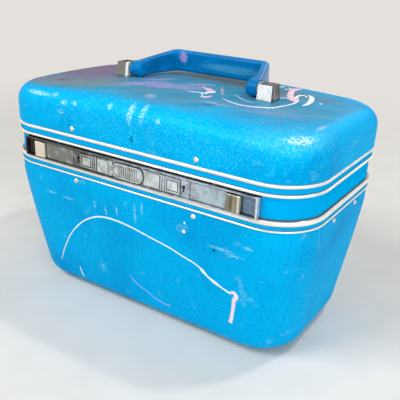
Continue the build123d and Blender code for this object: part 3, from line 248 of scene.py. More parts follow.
class CaseColours(bpy.types.PropertyGroup):
    """Colours of the case's finishes"""
    shell: colour_property("Shell", "Blue of the moulded shells", "#00A6E4")
    shell_deep: colour_property("Shell, deep", "Darker blue between the grain's pebbles", "#0090D4")
    shell_bright: colour_property("Shell, bright", "Lighter blue of the coat", "#00B8F2")
    # Painted highlight on the pebble tops at the front of the lid
    shell_glint: colour_property("Shell, glint", "Pebbles rubbed smooth on the front of the lid", "#5CE4FA")
    # Painted highlight at the lid's right front corner
    shell_highlight: colour_property("Shell, polish", "Pebbles polished white near the lid's corner", "#E6FCFF")
    # Also the painted sheen along the lid's left front edge
    shell_pale: colour_property("Shell, pale", "Rubbed and scuffed blue", "#B8EEF6")
    shell_nick: colour_property("Shell, nick", "Small dark nicks in the coat", "#0A5472")
    lid_film: colour_property("Lid film", "Grey-blue film on top of the lid", "#5092AE")
    lid_film_blue: colour_property("Lid film, blue", "Bluer part of that film", "#2E8BB2")
    lid_film_grey: colour_property("Lid film, grey", "Greyer part of that film", "#778E92")
    lid_film_brown: colour_property("Lid film, brown", "Brown part of that film behind the handle", "#706F60")
    lid_film_mauve: colour_property("Lid film, mauve", "Mauve stain at the lid's left rear", "#7C6E8C")
    lid_haze: colour_property("Lid haze", "Pale haze near the lid's front edge", "#A9BAD8")
    lid_spot: colour_property("Lid spot", "Dark spot near the lid's left end", "#4A4A52")
    lilac: colour_property("Lilac haze", "Smeared lilac paint on the lid", "#A79AD6")
    inlay: colour_property("Inlay", "Blue of the strips let into the frames", "#02A9EA")
    aluminium: colour_property("Aluminium", "Bright-dipped frame metal", "#FDFCF8")
    aluminium_dull: colour_property("Aluminium, dull", "Duller parts of the frame metal", "#DAD6CC")
    # Also painted shade on the flanks of the frames' beads
    grime_and_shade: colour_property("Grime", "Dirt along the strips and in the grooves", "#5E5646")
    chrome: colour_property("Chrome", "Plating of the latch bar", "#CCDAEA")
    tarnish: colour_property("Tarnish", "Dulled plating", "#55514A")
    handle: colour_property("Handle", "Moulded handle", "#0082C6")
    handle_deep: colour_property("Handle, deep", "Darker flow marks in the handle", "#005C94")
    washer: colour_property("Washer", "Washers at the handle's pivots", "#E4E2DA")
    white_paint: colour_property("White paint", "Dribble on the front", "#E9F4F7")
    pink_paint: colour_property("Pink paint", "Blots and the thick end of the dribble", "#F6DCE8")
    rose_paint: colour_property("Rose paint", "Stronger pink of the blots on the lid", "#EBA9CC")
    lavender_paint: colour_property("Lavender paint", "Scratch low on the front", "#86A8EC")
    lining: colour_property("Lining", "Satin of the linings", "#A9C3D2")
    tray: colour_property("Tray", "Moulded tray", "#D9DEDC")
    rubber: colour_property("Rubber", "Feet", "#1B1B1C")
    floor: colour_property("Floor", "Floor and backdrop of the studio", "#E4E1DC")


class CaseSizes(bpy.types.PropertyGroup):
    """Sizes of the case's surface patterns and soft parts"""
    grain: length_property("Grain", "Width of one pebble of the leather grain", 1.35)
    grain_depth: length_property("Grain depth", "Depth of the leather grain", 0.3)
    scuff: length_property("Scuff", "Width of a scuffed patch", 16.0)
    paint_height: length_property("Paint height", "How far dried paint stands off the shell", 0.45)
    quilt: length_property("Quilting", "Width of one padded channel of the linings", 30.0)
    puff: length_property("Puff", "How far the padding may swell between its seams", 3.5)
    seam: length_property("Seam", "How deep a sewn channel is drawn in", 1.2)
    pressure: bpy.props.FloatProperty(
        name="Pressure", description="Push of the padding on the cloth", default=2500.0)
    lining_wall: length_property("Lining thickness", "Thickness of the lining cloth and its backing", 1.2)


def add_node(tree, kind, inputs=(), ramp=(), **settings):
    """Adds a node with its settings. An input given as a node or a socket is linked, and any other is
    its value."""
    made = tree.nodes.new(kind)
    for name, value in settings.items():
        setattr(made, name, value)
    for key, value in dict(inputs).items():
        socket = made.inputs[key] if isinstance(key, int) else first_in_use(made.inputs, key)
        if isinstance(value, bpy.types.Node):
            value = first_in_use(value.outputs)
        if isinstance(value, bpy.types.NodeSocket):
            tree.links.new(value, socket)
        else:
            socket.default_value = value
    for step, (place, colour) in enumerate(ramp):
        stops = made.color_ramp.elements
        stop = stops[step] if step < 2 else stops.new(place)
        stop.position = place
        stop.color = colour
    return made


def first_in_use(sockets, name=None):
    """The first socket that the node's settings leave in use, of that name if one is given."""
    return next(socket for socket in sockets if socket.enabled and name in (None, socket.name))


def new_material(name, values):
    """A material with its Principled shader's own sockets set, and a short way to add nodes to it."""
    material = bpy.data.materials.new(name)
    material.use_nodes = True
    tree = material.node_tree
    shader = tree.nodes["Principled BSDF"]
    for socket, value in values.items():
        shader.inputs[socket].default_value = value
    put = partial(add_node, tree)
    return material, put, put("ShaderNodeTexCoord").outputs["Object"]


def finish_material(material, colour, roughness, relief, depth, metallic=None):
    """Links a material's patterns to its shader; relief is a height from 0 to 1 and depth is in metres."""
    tree = material.node_tree
    shader = tree.nodes["Principled BSDF"]
    bump = add_node(tree, "ShaderNodeBump", {"Height": relief, "Distance": depth})
    ends = {"Base Color": colour, "Roughness": roughness, "Normal": bump, "Metallic": metallic}
    for socket, node in ends.items():
        if node:
            tree.links.new(first_in_use(node.outputs), shader.inputs[socket])
    return material


def patchy(put, place, size, low=0.3, high=0.7, detail=2.0, stretch=(1.0, 1.0, 1.0), turn=0.0):
    """Cloudy patches `size` metres across: 0 where the cloud is below `low`, 1 where it is above `high`.
    They are longer along an axis whose stretch is above 1, and turned about the vertical."""
    along = put("ShaderNodeMapping", {"Vector": place, "Rotation": (0.0, 0.0, turn), "Scale": stretch},
                vector_type="TEXTURE")
    cloud = put("ShaderNodeTexNoise", {"Vector": along, "Scale": 1 / size, "Detail": detail})
    return put("ShaderNodeMapRange", {"Value": cloud, "From Min": low, "From Max": high})


def patch(put, place, centre, radii, ragged=0.0, turn=0.0, softness=0.65):
    """1 over one worn or stained place on a piece, fading to 0 at its edge. `ragged` frays the edge."""
    inside = put("ShaderNodeMapping", {
        "Vector": place, "Location": centre, "Rotation": (0.0, 0.0, turn), "Scale": radii},
        vector_type="TEXTURE")
    away = put("ShaderNodeVectorMath", {0: inside}, operation="LENGTH")
    fray = patchy(put, place, 0.3 * min(radii[0], radii[2]), detail=4.0)
    frayed = put("ShaderNodeMath", {0: fray, 1: ragged, 2: away}, operation="MULTIPLY_ADD")
    edge = 1.0 + 0.5 * ragged
    return put("ShaderNodeMapRange", {
        "Value": frayed, "From Min": edge + softness / 2, "From Max": edge - softness / 2},
        interpolation_type="SMOOTHSTEP")


def frame_inset(put, place):
    """How far a point lies inside the rounded outline of the bead crests, as seen from above."""
    straight = (HALF_LENGTH - CORNER_R, HALF_DEPTH - CORNER_R, 0.0)
    folded = put("ShaderNodeVectorMath", {0: place}, operation="ABSOLUTE")
    beyond = put("ShaderNodeVectorMath", {0: folded, 1: straight}, operation="SUBTRACT")
    level = put("ShaderNodeVectorMath", {0: beyond, 1: (1.0, 1.0, 0.0)}, operation="MULTIPLY")
    outside = put("ShaderNodeVectorMath", {0: level, 1: (0.0, 0.0, 0.0)}, operation="MAXIMUM")
    reach = put("ShaderNodeVectorMath", {0: outside}, operation="LENGTH")
    axes = put("ShaderNodeSeparateXYZ", {"Vector": level})
    larger = put("ShaderNodeMath", {0: axes.outputs["X"], 1: axes.outputs["Y"]}, operation="MAXIMUM")
    within = put("ShaderNodeMath", {0: larger, 1: 0.0}, operation="MINIMUM")
    over = put("ShaderNodeMath", {0: reach, 1: within}, operation="ADD")
    return put("ShaderNodeMath", {0: CORNER_R, 1: over}, operation="SUBTRACT")


def painted_over(put, base, *coats):
    """A colour with coats of other colours over it. Each is given with its opacity and what it covers,
    as one or more patterns from 0 to 1 that are multiplied."""
    for colour, opacity, *covers in coats:
        share = opacity
        for cover in covers:
            share = put("ShaderNodeMath", {0: share, 1: cover}, operation="MULTIPLY")
        base = put("ShaderNodeMix", {"Factor": share, "A": base, "B": colour}, data_type="RGBA")
    return base


def pebbled_abs(colours, sizes, is_lid):
    # Vacuum-formed ABS with a pebbled leather grain under a brushed coat of gloss enamel: the grain
    # breaks highlights into speckles, the coat is streaked downwards, rubbed pebbles are paler, and on the
    # lid's front the pebble tops carry painted highlight.
    # Its sheen is tinted: it comes from a share of metallic and a weak coat, and not from the specular.
    material, put, place = new_material(f"painted_pebbled_abs_{'lid' if is_lid else 'body'}", {
        "Specular IOR Level": 0.0, "Metallic": 0.22, "Coat Weight": 0.05, "Coat Roughness": 0.2,
        "Coat IOR": 1.3})
    # Real pebbles are 1 to 1.5 mm wide, which just shows, so they are drawn at their own size
    pebbles = put("ShaderNodeTexVoronoi", {"Vector": place, "Scale": 1 / sizes.grain, "Randomness": 1.0})
    tops = put("ShaderNodeMapRange", {"Value": pebbles, "From Min": 0.5, "From Max": 0.1})
    valleys = put("ShaderNodeMapRange", {"Value": pebbles, "From Min": 0.45, "From Max": 0.75})
    swell = patchy(put, place, 1.8 * sizes.grain)
    fine = patchy(put, place, 1.4 * MM, 0.42, 0.58)
    brushed = patchy(put, place, 4 * MM, detail=3.0, stretch=(1.0, 1.0, 14.0))
    brushed_share = 0.35
    tone = put("ShaderNodeMath", {0: brushed, 1: brushed_share, 2: patchy(put, place, 80 * MM)},
               operation="MULTIPLY_ADD")
    blue = put("ShaderNodeValToRGB", {"Fac": tone}, ramp=[
        (0.0, tuple(colours.shell_deep)), (0.4, tuple(colours.shell)),
        (1.2 / (1.0 + brushed_share), tuple(colours.shell_bright))])
    scuffed = patchy(put, place, sizes.scuff, 0.62, 0.74, 5.0)
    coats = [(colours.shell_deep, 0.6, valleys), (colours.shell_bright, 0.4, tops, swell),
             (colours.shell_pale, 0.3, scuffed, fine)]
    wear = lid_wear(put, place, colours, tops, fine) if is_lid else body_wear(put, place, colours, fine)
    rough = put("ShaderNodeMapRange", {"Value": tops, "To Min": 0.5, "To Max": 0.2})
    relief = put("ShaderNodeMath", {0: swell, 1: 0.4, 2: tops}, operation="MULTIPLY_ADD")
    return finish_material(material, painted_over(put, blue, *coats, *wear), rough, relief, sizes.grain_depth)


def body_wear(put, place, colours, fine):
    """Pale specks along the body's lower edge, a dark nick and the body's rubbed places."""
    height = put("ShaderNodeSeparateXYZ", {"Vector": place}).outputs["Z"]
    low = put("ShaderNodeMapRange", {"Value": height, "From Min": 13 * MM, "From Max": 5 * MM})
    nick_x, nick_z = metres(BODY_NICK)
    nick = patch(put, place, (nick_x, -HALF_DEPTH, nick_z), (1.6 * MM, MARK_REACH, 1.6 * MM))
    coats = [(colours.shell_pale, 0.85, low, patchy(put, place, 5 * MM, 0.52, 0.62, 3.0)),
             (colours.shell_nick, 0.9, nick)]
    for x, z, width, depth in BODY_SCUFFS:
        mark = patch(put, place, (x * MM, -HALF_DEPTH, z * MM), (width * MM, MARK_REACH, depth * MM), 1.2)
        coats.append((colours.shell_pale, 0.55, mark, fine))
    return coats


def lid_wear(put, place, colours, tops, fine):
    """The lid's front with its painted sheen and highlights, its scuffs, and the film, stains and lilac haze
    on its top.
    """
    axes = put("ShaderNodeSeparateXYZ", {"Vector": place})
    # A painted sheen on the lid's front, with painted highlight on its pebble tops
    front = patch(put, place, (40 * MM, -HALF_DEPTH, LID_TOP_Z - 15 * MM), metres((150, 60, 26)), 0.5)
    speckled = patchy(put, place, 2.5 * MM, 0.4, 0.62, 3.0)
    nick_x, nick_z = metres(LID_NICK)
    nick = patch(put, place, (nick_x, -HALF_DEPTH, nick_z), metres((1.6, 10, 3)), 1.0)
    # Painted highlights at the lid's right front corner, where the small lamp's own highlight falls
    corner = patch(put, place, *map(metres, CORNER_HIGHLIGHT), 0.6, softness=1.4)
    core = patch(put, place, *map(metres, CORNER_HIGHLIGHT_CORE), 0.5, softness=1.4)
    coats = [(colours.shell_bright, 0.6, front), (colours.shell_glint, 0.85, front, tops, speckled),
             (colours.shell_glint, 0.2, corner), (colours.shell_highlight, 0.35, corner, tops, speckled),
             (colours.shell_highlight, 0.9, core, speckled), (colours.shell_nick, 0.7, nick)]
    # The long row along the lid's left front edge is a painted sheen
    for x, y, z, width, depth in LID_SCUFFS_AND_SHEEN:
        mark = patch(put, place, metres((x, y, z)), metres((width, 9, depth)), 1.0)
        coats.append((colours.shell_pale, 0.85, mark, fine))
    # The film ends where the lid's top starts to fall, and lower down towards both ends
    level = axes.outputs["Z"]
    for start, way, slope in FILM_FALLS:
        off = put("ShaderNodeMath", {0: axes.outputs["X"], 1: way, 2: -way * start * MM},
                  operation="MULTIPLY_ADD")
        beyond = put("ShaderNodeMath", {0: off, 1: 0.0}, operation="MAXIMUM")
        level = put("ShaderNodeMath", {0: beyond, 1: slope, 2: level}, operation="MULTIPLY_ADD")
    cloud = patchy(put, place, 14 * MM, 0.1, 0.9, 6.0, (2.5, 1.0, 1.0), STREAK_TURN)
    uneven = put("ShaderNodeMath", {0: cloud, 1: 1.8 * MM, 2: level}, operation="MULTIPLY_ADD")
    fades_from, fades_to = metres(FILM_EDGE)
    film = put("ShaderNodeMapRange", {
        "Value": uneven, "From Min": LID_TOP_Z + fades_from, "From Max": LID_TOP_Z + fades_to},
        interpolation_type="SMOOTHSTEP")
    drift = patchy(put, place, 12 * MM, 0.15, 0.85, 5.0, (3.0, 1.0, 1.0), STREAK_TURN)
    dust_and_shade = put("ShaderNodeValToRGB", {"Fac": drift}, ramp=[
        (0.2, tuple(colours.lid_film_blue)), (0.55, tuple(colours.lid_film)),
        (0.9, tuple(colours.lid_film_grey))])
    coats.append((dust_and_shade, 0.92, film))
    streaky = patchy(put, place, 8 * MM, 0.2, 0.62, 5.0, (5.0, 1.0, 1.0), STREAK_TURN)
    for (x, y), (length, width), turn, colour, opacity in LID_STAINS:
        stain = patch(put, place, (x * MM, y * MM, LID_TOP_Z), metres((length, width, 50)), 0.5,
                      math.radians(turn), 0.9)
        covers = (stain, film) if length > BROAD_STAIN else (stain, streaky, film)
        coats.append((getattr(colours, colour), opacity, *covers))
    return coats


def inlaid_aluminium(colours):
    # Drawn, bright-dipped aluminium with blue vinyl strips let in: nearly white along the bead crests,
    # fine draw lines round the case, warm grime and painted shade beside the strips, and flat strips with
    # small chips.
    material, put, place = new_material("bright_dipped_aluminium_with_inlay", {"Specular IOR Level": 0.0})
    height = put("ShaderNodeSeparateXYZ", {"Vector": place}).outputs["Z"]
    inset = frame_inset(put, place)
    band = 0.0
    for low, high in map(metres, PAINTED_STRIPS):
        away = put("ShaderNodeMath", {0: height, 1: (low + high) / 2}, operation="SUBTRACT")
        off = put("ShaderNodeMath", {0: away}, operation="ABSOLUTE")
        half = (high - low) / 2
        inside = put("ShaderNodeMapRange", {"Value": off, "From Min": half, "From Max": half - STRIP_BLUR})
        band = put("ShaderNodeMath", {0: inside, 1: band}, operation="MAXIMUM")
    start, whole = metres(STRIP_START)
    still_whole, end = metres(STRIP_END)
    skin = put("ShaderNodeMapRange", {"Value": inset, "From Min": start, "From Max": whole})
    inner = put("ShaderNodeMapRange", {"Value": inset, "From Min": end, "From Max": still_whole})
    depth = put("ShaderNodeMath", {0: skin, 1: inner}, operation="MULTIPLY")
    unchipped = patchy(put, place, 3 * MM, 0.76, 0.72, 4.0)
    left = put("ShaderNodeMath", {0: unchipped, 1: depth}, operation="MULTIPLY")
    strip = put("ShaderNodeMath", {0: band, 1: left}, operation="MULTIPLY")
    shade = patchy(put, place, 20 * MM, detail=3.0)
    grime_and_shade_start, grime_and_shade_full = metres(GRIME_AND_SHADE_START)
    grimy_and_shaded = put("ShaderNodeMapRange", {"Value": inset, "From Min": grime_and_shade_start, "From Max": grime_and_shade_full})
    blue = put("ShaderNodeValToRGB", {"Fac": shade}, ramp=[
        (0.0, tuple(colours.inlay)), (1.0, tuple(colours.shell))])
    # Grime and painted shade on the bead flanks, the strips, and painted shade in the crevices
    colour = painted_over(
        put, colours.aluminium, (colours.aluminium_dull, 0.6, shade), (colours.grime_and_shade, 0.75, grimy_and_shaded),
        (blue, 1.0, strip), (linear("#4A4234"), 0.7, crevice_shade(put, 1.6 * MM)))
    metallic = put("ShaderNodeMapRange", {"Value": strip, "To Min": 0.6, "To Max": 0.0})
    # Draw lines are finer than this; drawn every 0.8 mm so that they catch the light
    lines = patchy(put, place, 0.8 * MM, stretch=(400.0, 400.0, 1.0))
    rough = put("ShaderNodeMapRange", {"Value": lines, "To Min": 0.26, "To Max": 0.42})
    return finish_material(material, colour, rough, lines, 0.02 * MM, metallic)


def crevice_shade(put, width):
    """1 in the corners where pieces meet, as painted shade from ambient occlusion, fading to 0 at a distance
    of `width` metres.
    """
    open_share = put("ShaderNodeAmbientOcclusion", {"Distance": width}, samples=6).outputs["AO"]
    return put("ShaderNodeMapRange", {"Value": open_share, "From Min": 0.92, "From Max": 0.55})


def coats_over(put, place, marks, ragged):
    """Coats over single places. A mark is its centre, its radii, its opacity and its colour."""
    return [(shade, opacity, patch(put, place, centre, radii, ragged))
            for centre, radii, opacity, shade in marks]


def placed_marks(colours, marks, middle_z=0.0):
    """Marks in metres and with their own colours, from marks in mm that name their colours."""
    placed = []
    for centre, radii, opacity, colour in marks:
        x, y, z = metres(centre)
        placed.append(((x, y, z + middle_z), metres(radii), opacity, shade_of(colours, colour)))
    return placed


def plated_zinc(name, colour, tarnish, dulled, pits, metallic=0.85, recess=None, painted_dark_faces=False, wear=()):
    # Chrome-plated die-cast zinc: bright where whole, clouded and pitted where it has dulled, and
    # blackened in its recesses, with painted shade in the corners where pieces meet. The dull share goes
    # from the first value at +X to the second at -X. A recess has its start and end along y in mm, its
    # opacity and its colour. If asked, faces that look up get a painted dark reflection, and faces at the
    # right that look right get painted shade.
    material, put, place = new_material(name, {"Metallic": metallic, "Specular IOR Level": 0.2})
    axes = put("ShaderNodeSeparateXYZ", {"Vector": place})
    side = put("ShaderNodeMapRange", {
        "Value": axes.outputs["X"], "From Min": 80 * MM, "From Max": -80 * MM, "To Min": dulled[0],
        "To Max": dulled[1]})
    cloud = patchy(put, place, 7 * MM, detail=4.0)
    clouded = put("ShaderNodeMath", {0: cloud, 1: side}, operation="ADD")
    dull = put("ShaderNodeMapRange", {"Value": clouded, "From Min": 0.5, "From Max": 1.4})
    coats = [(tarnish, 0.9, dull)]
    if recess:
        ends, strength, deep_colour = recess
        start, full = metres(ends)
        deep = put("ShaderNodeMapRange", {"Value": axes.outputs["Y"], "From Min": start, "From Max": full})
        worse = put("ShaderNodeMapRange", {
            "Value": axes.outputs["X"], "From Min": -25 * MM, "From Max": -60 * MM})
        coats += [(deep_colour, strength, deep), (linear("#15120F"), 0.85, deep, worse)]
    # Painted dark reflection on faces that look up, and painted shade on the right side's faces
    if painted_dark_faces:
        facing = put("ShaderNodeSeparateXYZ", {"Vector": put("ShaderNodeTexCoord").outputs["Normal"]})
        upward = put("ShaderNodeMapRange", {"Value": facing.outputs["Z"], "From Min": 0.25, "From Max": 0.5})
        sideward = put("ShaderNodeMapRange", {"Value": facing.outputs["X"], "From Min": 0.5, "From Max": 0.9})
        at_right = put("ShaderNodeMapRange", {
            "Value": axes.outputs["X"], "From Min": 0.0, "From Max": 20 * MM})
        runs = patchy(put, place, 4 * MM, 0.1, 0.38, 3.0, (1.0, 1.0, 5.0))
        coats += [(linear("#0C0A08"), 1.0, upward), (linear("#3A2E22"), 0.9, sideward, at_right, runs)]
    coats += coats_over(put, place, wear, 0.3)
    coats.append((linear("#2A2C2C"), pits, patchy(put, place, 1.1 * MM, 0.5, 0.6)))
    # Painted shade in the corners where pieces meet
    coats.append((linear("#0E0C0A"), 0.95, crevice_shade(put, 1.9 * MM)))
    rough = put("ShaderNodeMapRange", {"Value": dull, "To Min": 0.2, "To Max": 0.42})
    return finish_material(material, painted_over(put, colour, *coats), rough, cloud, 0.05 * MM)


def moulded_plastic(name, colour, deep, roughness, grain, stains=()):
    # Injection-moulded plastic: even colour with faint flow marks, a soft sheen and fine handling marks.
    material, put, place = new_material(name, {
        "Specular IOR Level": 0.06, "Coat Weight": 0.03, "Coat Roughness": 0.15, "Coat IOR": 1.35})
    flow = patchy(put, place, 25 * MM, detail=3.0, stretch=(3.0, 1.0, 1.0))
    marks = patchy(put, place, grain, detail=3.0)
    base = put("ShaderNodeValToRGB", {"Fac": flow}, ramp=[(0.0, tuple(deep)), (0.9, tuple(colour))])
    coats = [(linear("#E8F2F4"), 0.05, patchy(put, place, grain, 0.6, 0.8, 3.0))]
    # Stains; on the handle also a painted highlight band along the grip
    coats += coats_over(put, place, stains, 0.9)
    rough = put("ShaderNodeMapRange", {"Value": marks, "To Min": roughness, "To Max": roughness + 0.14})
    return finish_material(material, painted_over(put, base, *coats), rough, marks, 0.06 * MM)


def zinc_plated_steel(name, colour, rust, bright="#8E9295"):
    # Zinc-plated or nickelled sheet steel: grey and satin, with a cloudy spangle and some rust spots.
    material, put, place = new_material(name, {"Metallic": 1.0})
    spangle = patchy(put, place, 2.5 * MM, detail=3.0)
    base = put("ShaderNodeValToRGB", {"Fac": spangle}, ramp=[(0.0, colour), (1.0, linear(bright))])
    spotted = painted_over(put, base, (linear("#6B4A33"), rust, patchy(put, place, 6 * MM, 0.58, 0.7, 5.0)))
    rough = put("ShaderNodeMapRange", {"Value": spangle, "To Min": 0.3, "To Max": 0.5})
    return finish_material(material, spotted, rough, spangle, 0.05 * MM)


def dried_enamel(name, colour, other):
    # Dried gloss enamel: opaque, uneven in colour, with a rippled skin that looks wet.
    material, put, place = new_material(name, {"IOR": 1.5, "Coat Weight": 0.3, "Coat Roughness": 0.1})
    swirl = patchy(put, place, 5 * MM, 0.36, 0.6, 3.0, (3.0, 1.0, 1.0), STREAK_TURN)
    base = put("ShaderNodeValToRGB", {"Fac": swirl}, ramp=[(0.1, tuple(colour)), (0.9, tuple(other))])
    ripple = patchy(put, place, 2 * MM)
    rough = put("ShaderNodeMapRange", {"Value": ripple, "To Min": 0.25, "To Max": 0.45})
    return finish_material(material, base, rough, ripple, 0.15 * MM)


def woven_satin(colours):
    # Woven acetate satin: a soft sheen across the warp, fine slubs in the weft, greyed in places.
    material, put, place = new_material("woven_acetate_satin", {
        "Sheen Weight": 0.4, "Sheen Roughness": 0.35, "IOR": 1.45})
    # Threads are 0.2 mm apart; drawn at 0.8 mm, so that the weave shows
    slub = patchy(put, place, 0.8 * MM, stretch=(10.0, 10.0, 1.0))
    warp = patchy(put, place, 0.8 * MM, stretch=(1.0, 1.0, 14.0))
    weave = put("ShaderNodeMath", {0: slub, 1: warp}, operation="ADD")
    base = put("ShaderNodeValToRGB", {"Fac": patchy(put, place, 50 * MM, detail=4.0)}, ramp=[
        (0.1, tuple(colours.lining)), (0.75, linear("#96B4C8")), (1.0, linear("#A3B2B4"))])
    raised = put("ShaderNodeMapRange", {"Value": weave, "From Min": 0.8, "From Max": 1.5})
    rough = put("ShaderNodeMapRange", {"Value": slub, "To Min": 0.34, "To Max": 0.52})
    # Painted shade darkens the sewn channels
    dust_and_shade = crevice_shade(put, 6 * MM)
    woven = painted_over(put, base, (linear("#DCE8EE"), 0.3, raised), (linear("#4F6C82"), 0.75, dust_and_shade))
    return finish_material(material, woven, rough, weave, 0.1 * MM)


def silvered_glass():
    # Back-silvered glass: a clean mirror with a faint haze and dark spots where the silver has gone.
    material, put, place = new_material("silvered_glass", {"Metallic": 1.0})
    haze = patchy(put, place, 30 * MM, detail=3.0)
    rough = put("ShaderNodeMapRange", {"Value": haze, "To Min": 0.01, "To Max": 0.08})
    gone = patchy(put, place, 8 * MM, 0.68, 0.74, 5.0)
    spotted = painted_over(put, linear("#E9EDEE"), (linear("#5C5F60"), 0.8, gone))
    return finish_material(material, spotted, rough, haze, 0.001 * MM)


def moulded_rubber(colours):
    # Moulded black rubber: matt, greyed by dust in its pores.
    material, put, place = new_material("moulded_rubber", {"IOR": 1.5})
    dust = patchy(put, place, 1.5 * MM, detail=4.0)
    base = put("ShaderNodeValToRGB", {"Fac": dust}, ramp=[
        (0.4, tuple(colours.rubber)), (1.0, linear("#55534F"))])
    rough = put("ShaderNodeMapRange", {"Value": dust, "To Min": 0.65, "To Max": 0.9})
    return finish_material(material, base, rough, dust, 0.1 * MM)


def dress(names, material):
    """Gives CAD nodes a finish through their objects' material slots."""
    for name in names:
        for slot in NODES[name].material_slots:
            slot.link = "OBJECT"
            slot.material = material


def both(name):
    """The names of a node that is there on the left and on the right."""
    return [f"{side}_{name}" for side in SIDES]


# Rays at the shells' skins start this far from the origin
RAY_START = 500 * MM


def on_skin(shell, point, facing):
    """The place on a shell's outer skin that lies behind a point, looking against `facing`."""
    outside = Vector(point) + facing * (RAY_START - Vector(point).dot(facing))
    hit, at, _, _ = shell.ray_cast(outside, -facing)
    if not hit:
        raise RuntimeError(f"no skin behind {tuple(point)}")
    return at


def paint_stroke(name, shell, facing, places, height):
    """A dribble of dried paint on a shell: a smooth tapered tube pressed flat onto the skin. It has a
    point and a width in mm for each of its places, and its height off the skin is in metres."""
    bpy.ops.object.select_all(action="DESELECT")
    bpy.ops.curve.primitive_bezier_curve_add(location=(0, 0, 0))
    stroke = bpy.context.object
    stroke.name = name
    curve = stroke.data
    curve.dimensions = "3D"
    curve.bevel_depth = 1.0
    curve.bevel_resolution = 4
    curve.resolution_u = 10
    curve.use_fill_caps = True
    spline = curve.splines[0]
    spline.bezier_points.add(len(places) - len(spline.bezier_points))
    for bead, (point, width) in zip(spline.bezier_points, places):
        bead.co = on_skin(shell, Vector(point) * MM, facing)
        bead.handle_left_type = "AUTO"
        bead.handle_right_type = "AUTO"
        bead.radius = width / 2 * MM
    bpy.ops.object.convert(target="MESH")
    ring = 2 * (curve.bevel_resolution + 2)
    corners = stroke.data.vertices
    for start in range(0, len(corners), ring):
        beads = [corners[start + step] for step in range(ring)]
        middle = sum((bead.co for bead in beads), Vector()) / ring
        half = max((bead.co - middle).length for bead in beads)
        for bead in beads:
            lift = (bead.co - middle).dot(facing) / max(half, 0.01 * MM)
            bead.co = on_skin(shell, bead.co, facing) + facing * lift * min(height, half)
    bpy.ops.object.mode_set(mode="EDIT")
    bpy.ops.mesh.select_all(action="SELECT")
    bpy.ops.mesh.remove_doubles(threshold=0.01 * MM)
    bpy.ops.mesh.normals_make_consistent(inside=False)
    bpy.ops.object.mode_set(mode="OBJECT")
    bpy.ops.object.shade_smooth()
    return stroke


# The linings' skins are remeshed at this size before the cloth simulation
LINING_VOXEL = 5 * MM
CLOTH_FRAMES = 20
SATIN_STIFFNESS = 5.0

# Cloth is held at the seams, where its channel's profile is lower than this
SEWN_BELOW = 0.6

# The padding thins out over these distances to a lining's rim and to the mirror, and starts this far
# above the body's floor
RIM_FADE = 8 * MM
MIRROR_FADE = 6 * MM
FLOOR_EDGE = 8 * MM


def edit_selected(piece):
    """Makes one piece the only selected and active object, and opens it in edit mode."""
    bpy.ops.object.select_all(action="DESELECT")
    piece.select_set(True)
    bpy.context.view_layer.objects.active = piece
    bpy.ops.object.mode_set(mode="EDIT")
    bpy.ops.mesh.select_all(action="SELECT")


def lining_cavity(node, name, rim_z):
    """Even skin of the space inside a lining, open at its rim, from a copy of the lining's solid. The
    solid's inward faces give a closed hull, which is remeshed and then opened."""
    source = NODES[node]
    skin = source.copy()
    skin.data = source.data.copy()
    skin.name = name
    skin.parent = None
    for key in list(skin.keys()):
        del skin[key]
    bpy.context.scene.collection.objects.link(skin)
    edit_selected(skin)
    bpy.ops.mesh.remove_doubles(threshold=0.02 * MM)
    bpy.ops.mesh.select_all(action="DESELECT")
    bpy.ops.mesh.select_mode(type="FACE")
    bpy.ops.object.mode_set(mode="OBJECT")
    # Only the faces that look inwards stay, without the rim, and a hull closes them over the opening
    low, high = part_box(node)
    middle = (low + high) / 2
    for face in skin.data.polygons:
        at_rim = abs(face.center.z - rim_z) < 0.3 * MM
        face.select = face.normal.dot(middle - face.center) <= 0 or at_rim
    bpy.ops.object.mode_set(mode="EDIT")
    bpy.ops.mesh.delete(type="FACE")
    bpy.ops.mesh.select_all(action="SELECT")
    bpy.ops.mesh.convex_hull()
    bpy.ops.object.mode_set(mode="OBJECT")
    skin.data.remesh_voxel_size = LINING_VOXEL
    bpy.ops.object.voxel_remesh()
    edit_selected(skin)
    bpy.ops.mesh.vertices_smooth(factor=0.5, repeat=3)
    bpy.ops.mesh.select_all(action="DESELECT")
    bpy.ops.object.mode_set(mode="OBJECT")
    # The level faces that closed the opening go again
    for face in skin.data.polygons:
        face.select = abs(face.center.z - rim_z) < 0.6 * LINING_VOXEL and abs(face.normal.z) > 0.7
    bpy.ops.object.mode_set(mode="EDIT")
    bpy.ops.mesh.delete(type="FACE")
    bpy.ops.object.mode_set(mode="OBJECT")
    skin.data.materials.clear()
    return skin


def perimeter_place(x, y):
    """Distance round the case's rounded outline to the point that faces (x, y)."""
    flat_x, flat_y = HALF_LENGTH - CORNER_R, HALF_DEPTH - CORNER_R
    quarter = CORNER_R * math.pi / 2
    over_x, over_y = abs(x) - flat_x, abs(y) - flat_y
    if over_x > 0 and over_y > 0:
        along = flat_x + CORNER_R * math.atan2(over_x, over_y)
    elif over_y > over_x:
        along = abs(x)
    else:
        along = flat_x + quarter + flat_y - abs(y)
    return math.copysign(along, x)


def weighted(skin, name, weight):
    """A vertex group of a skin, weighted for each place."""
    group = skin.vertex_groups.new(name=name)
    for corner in skin.data.vertices:
        group.add([corner.index], weight(corner.co), "REPLACE")
    return group.name


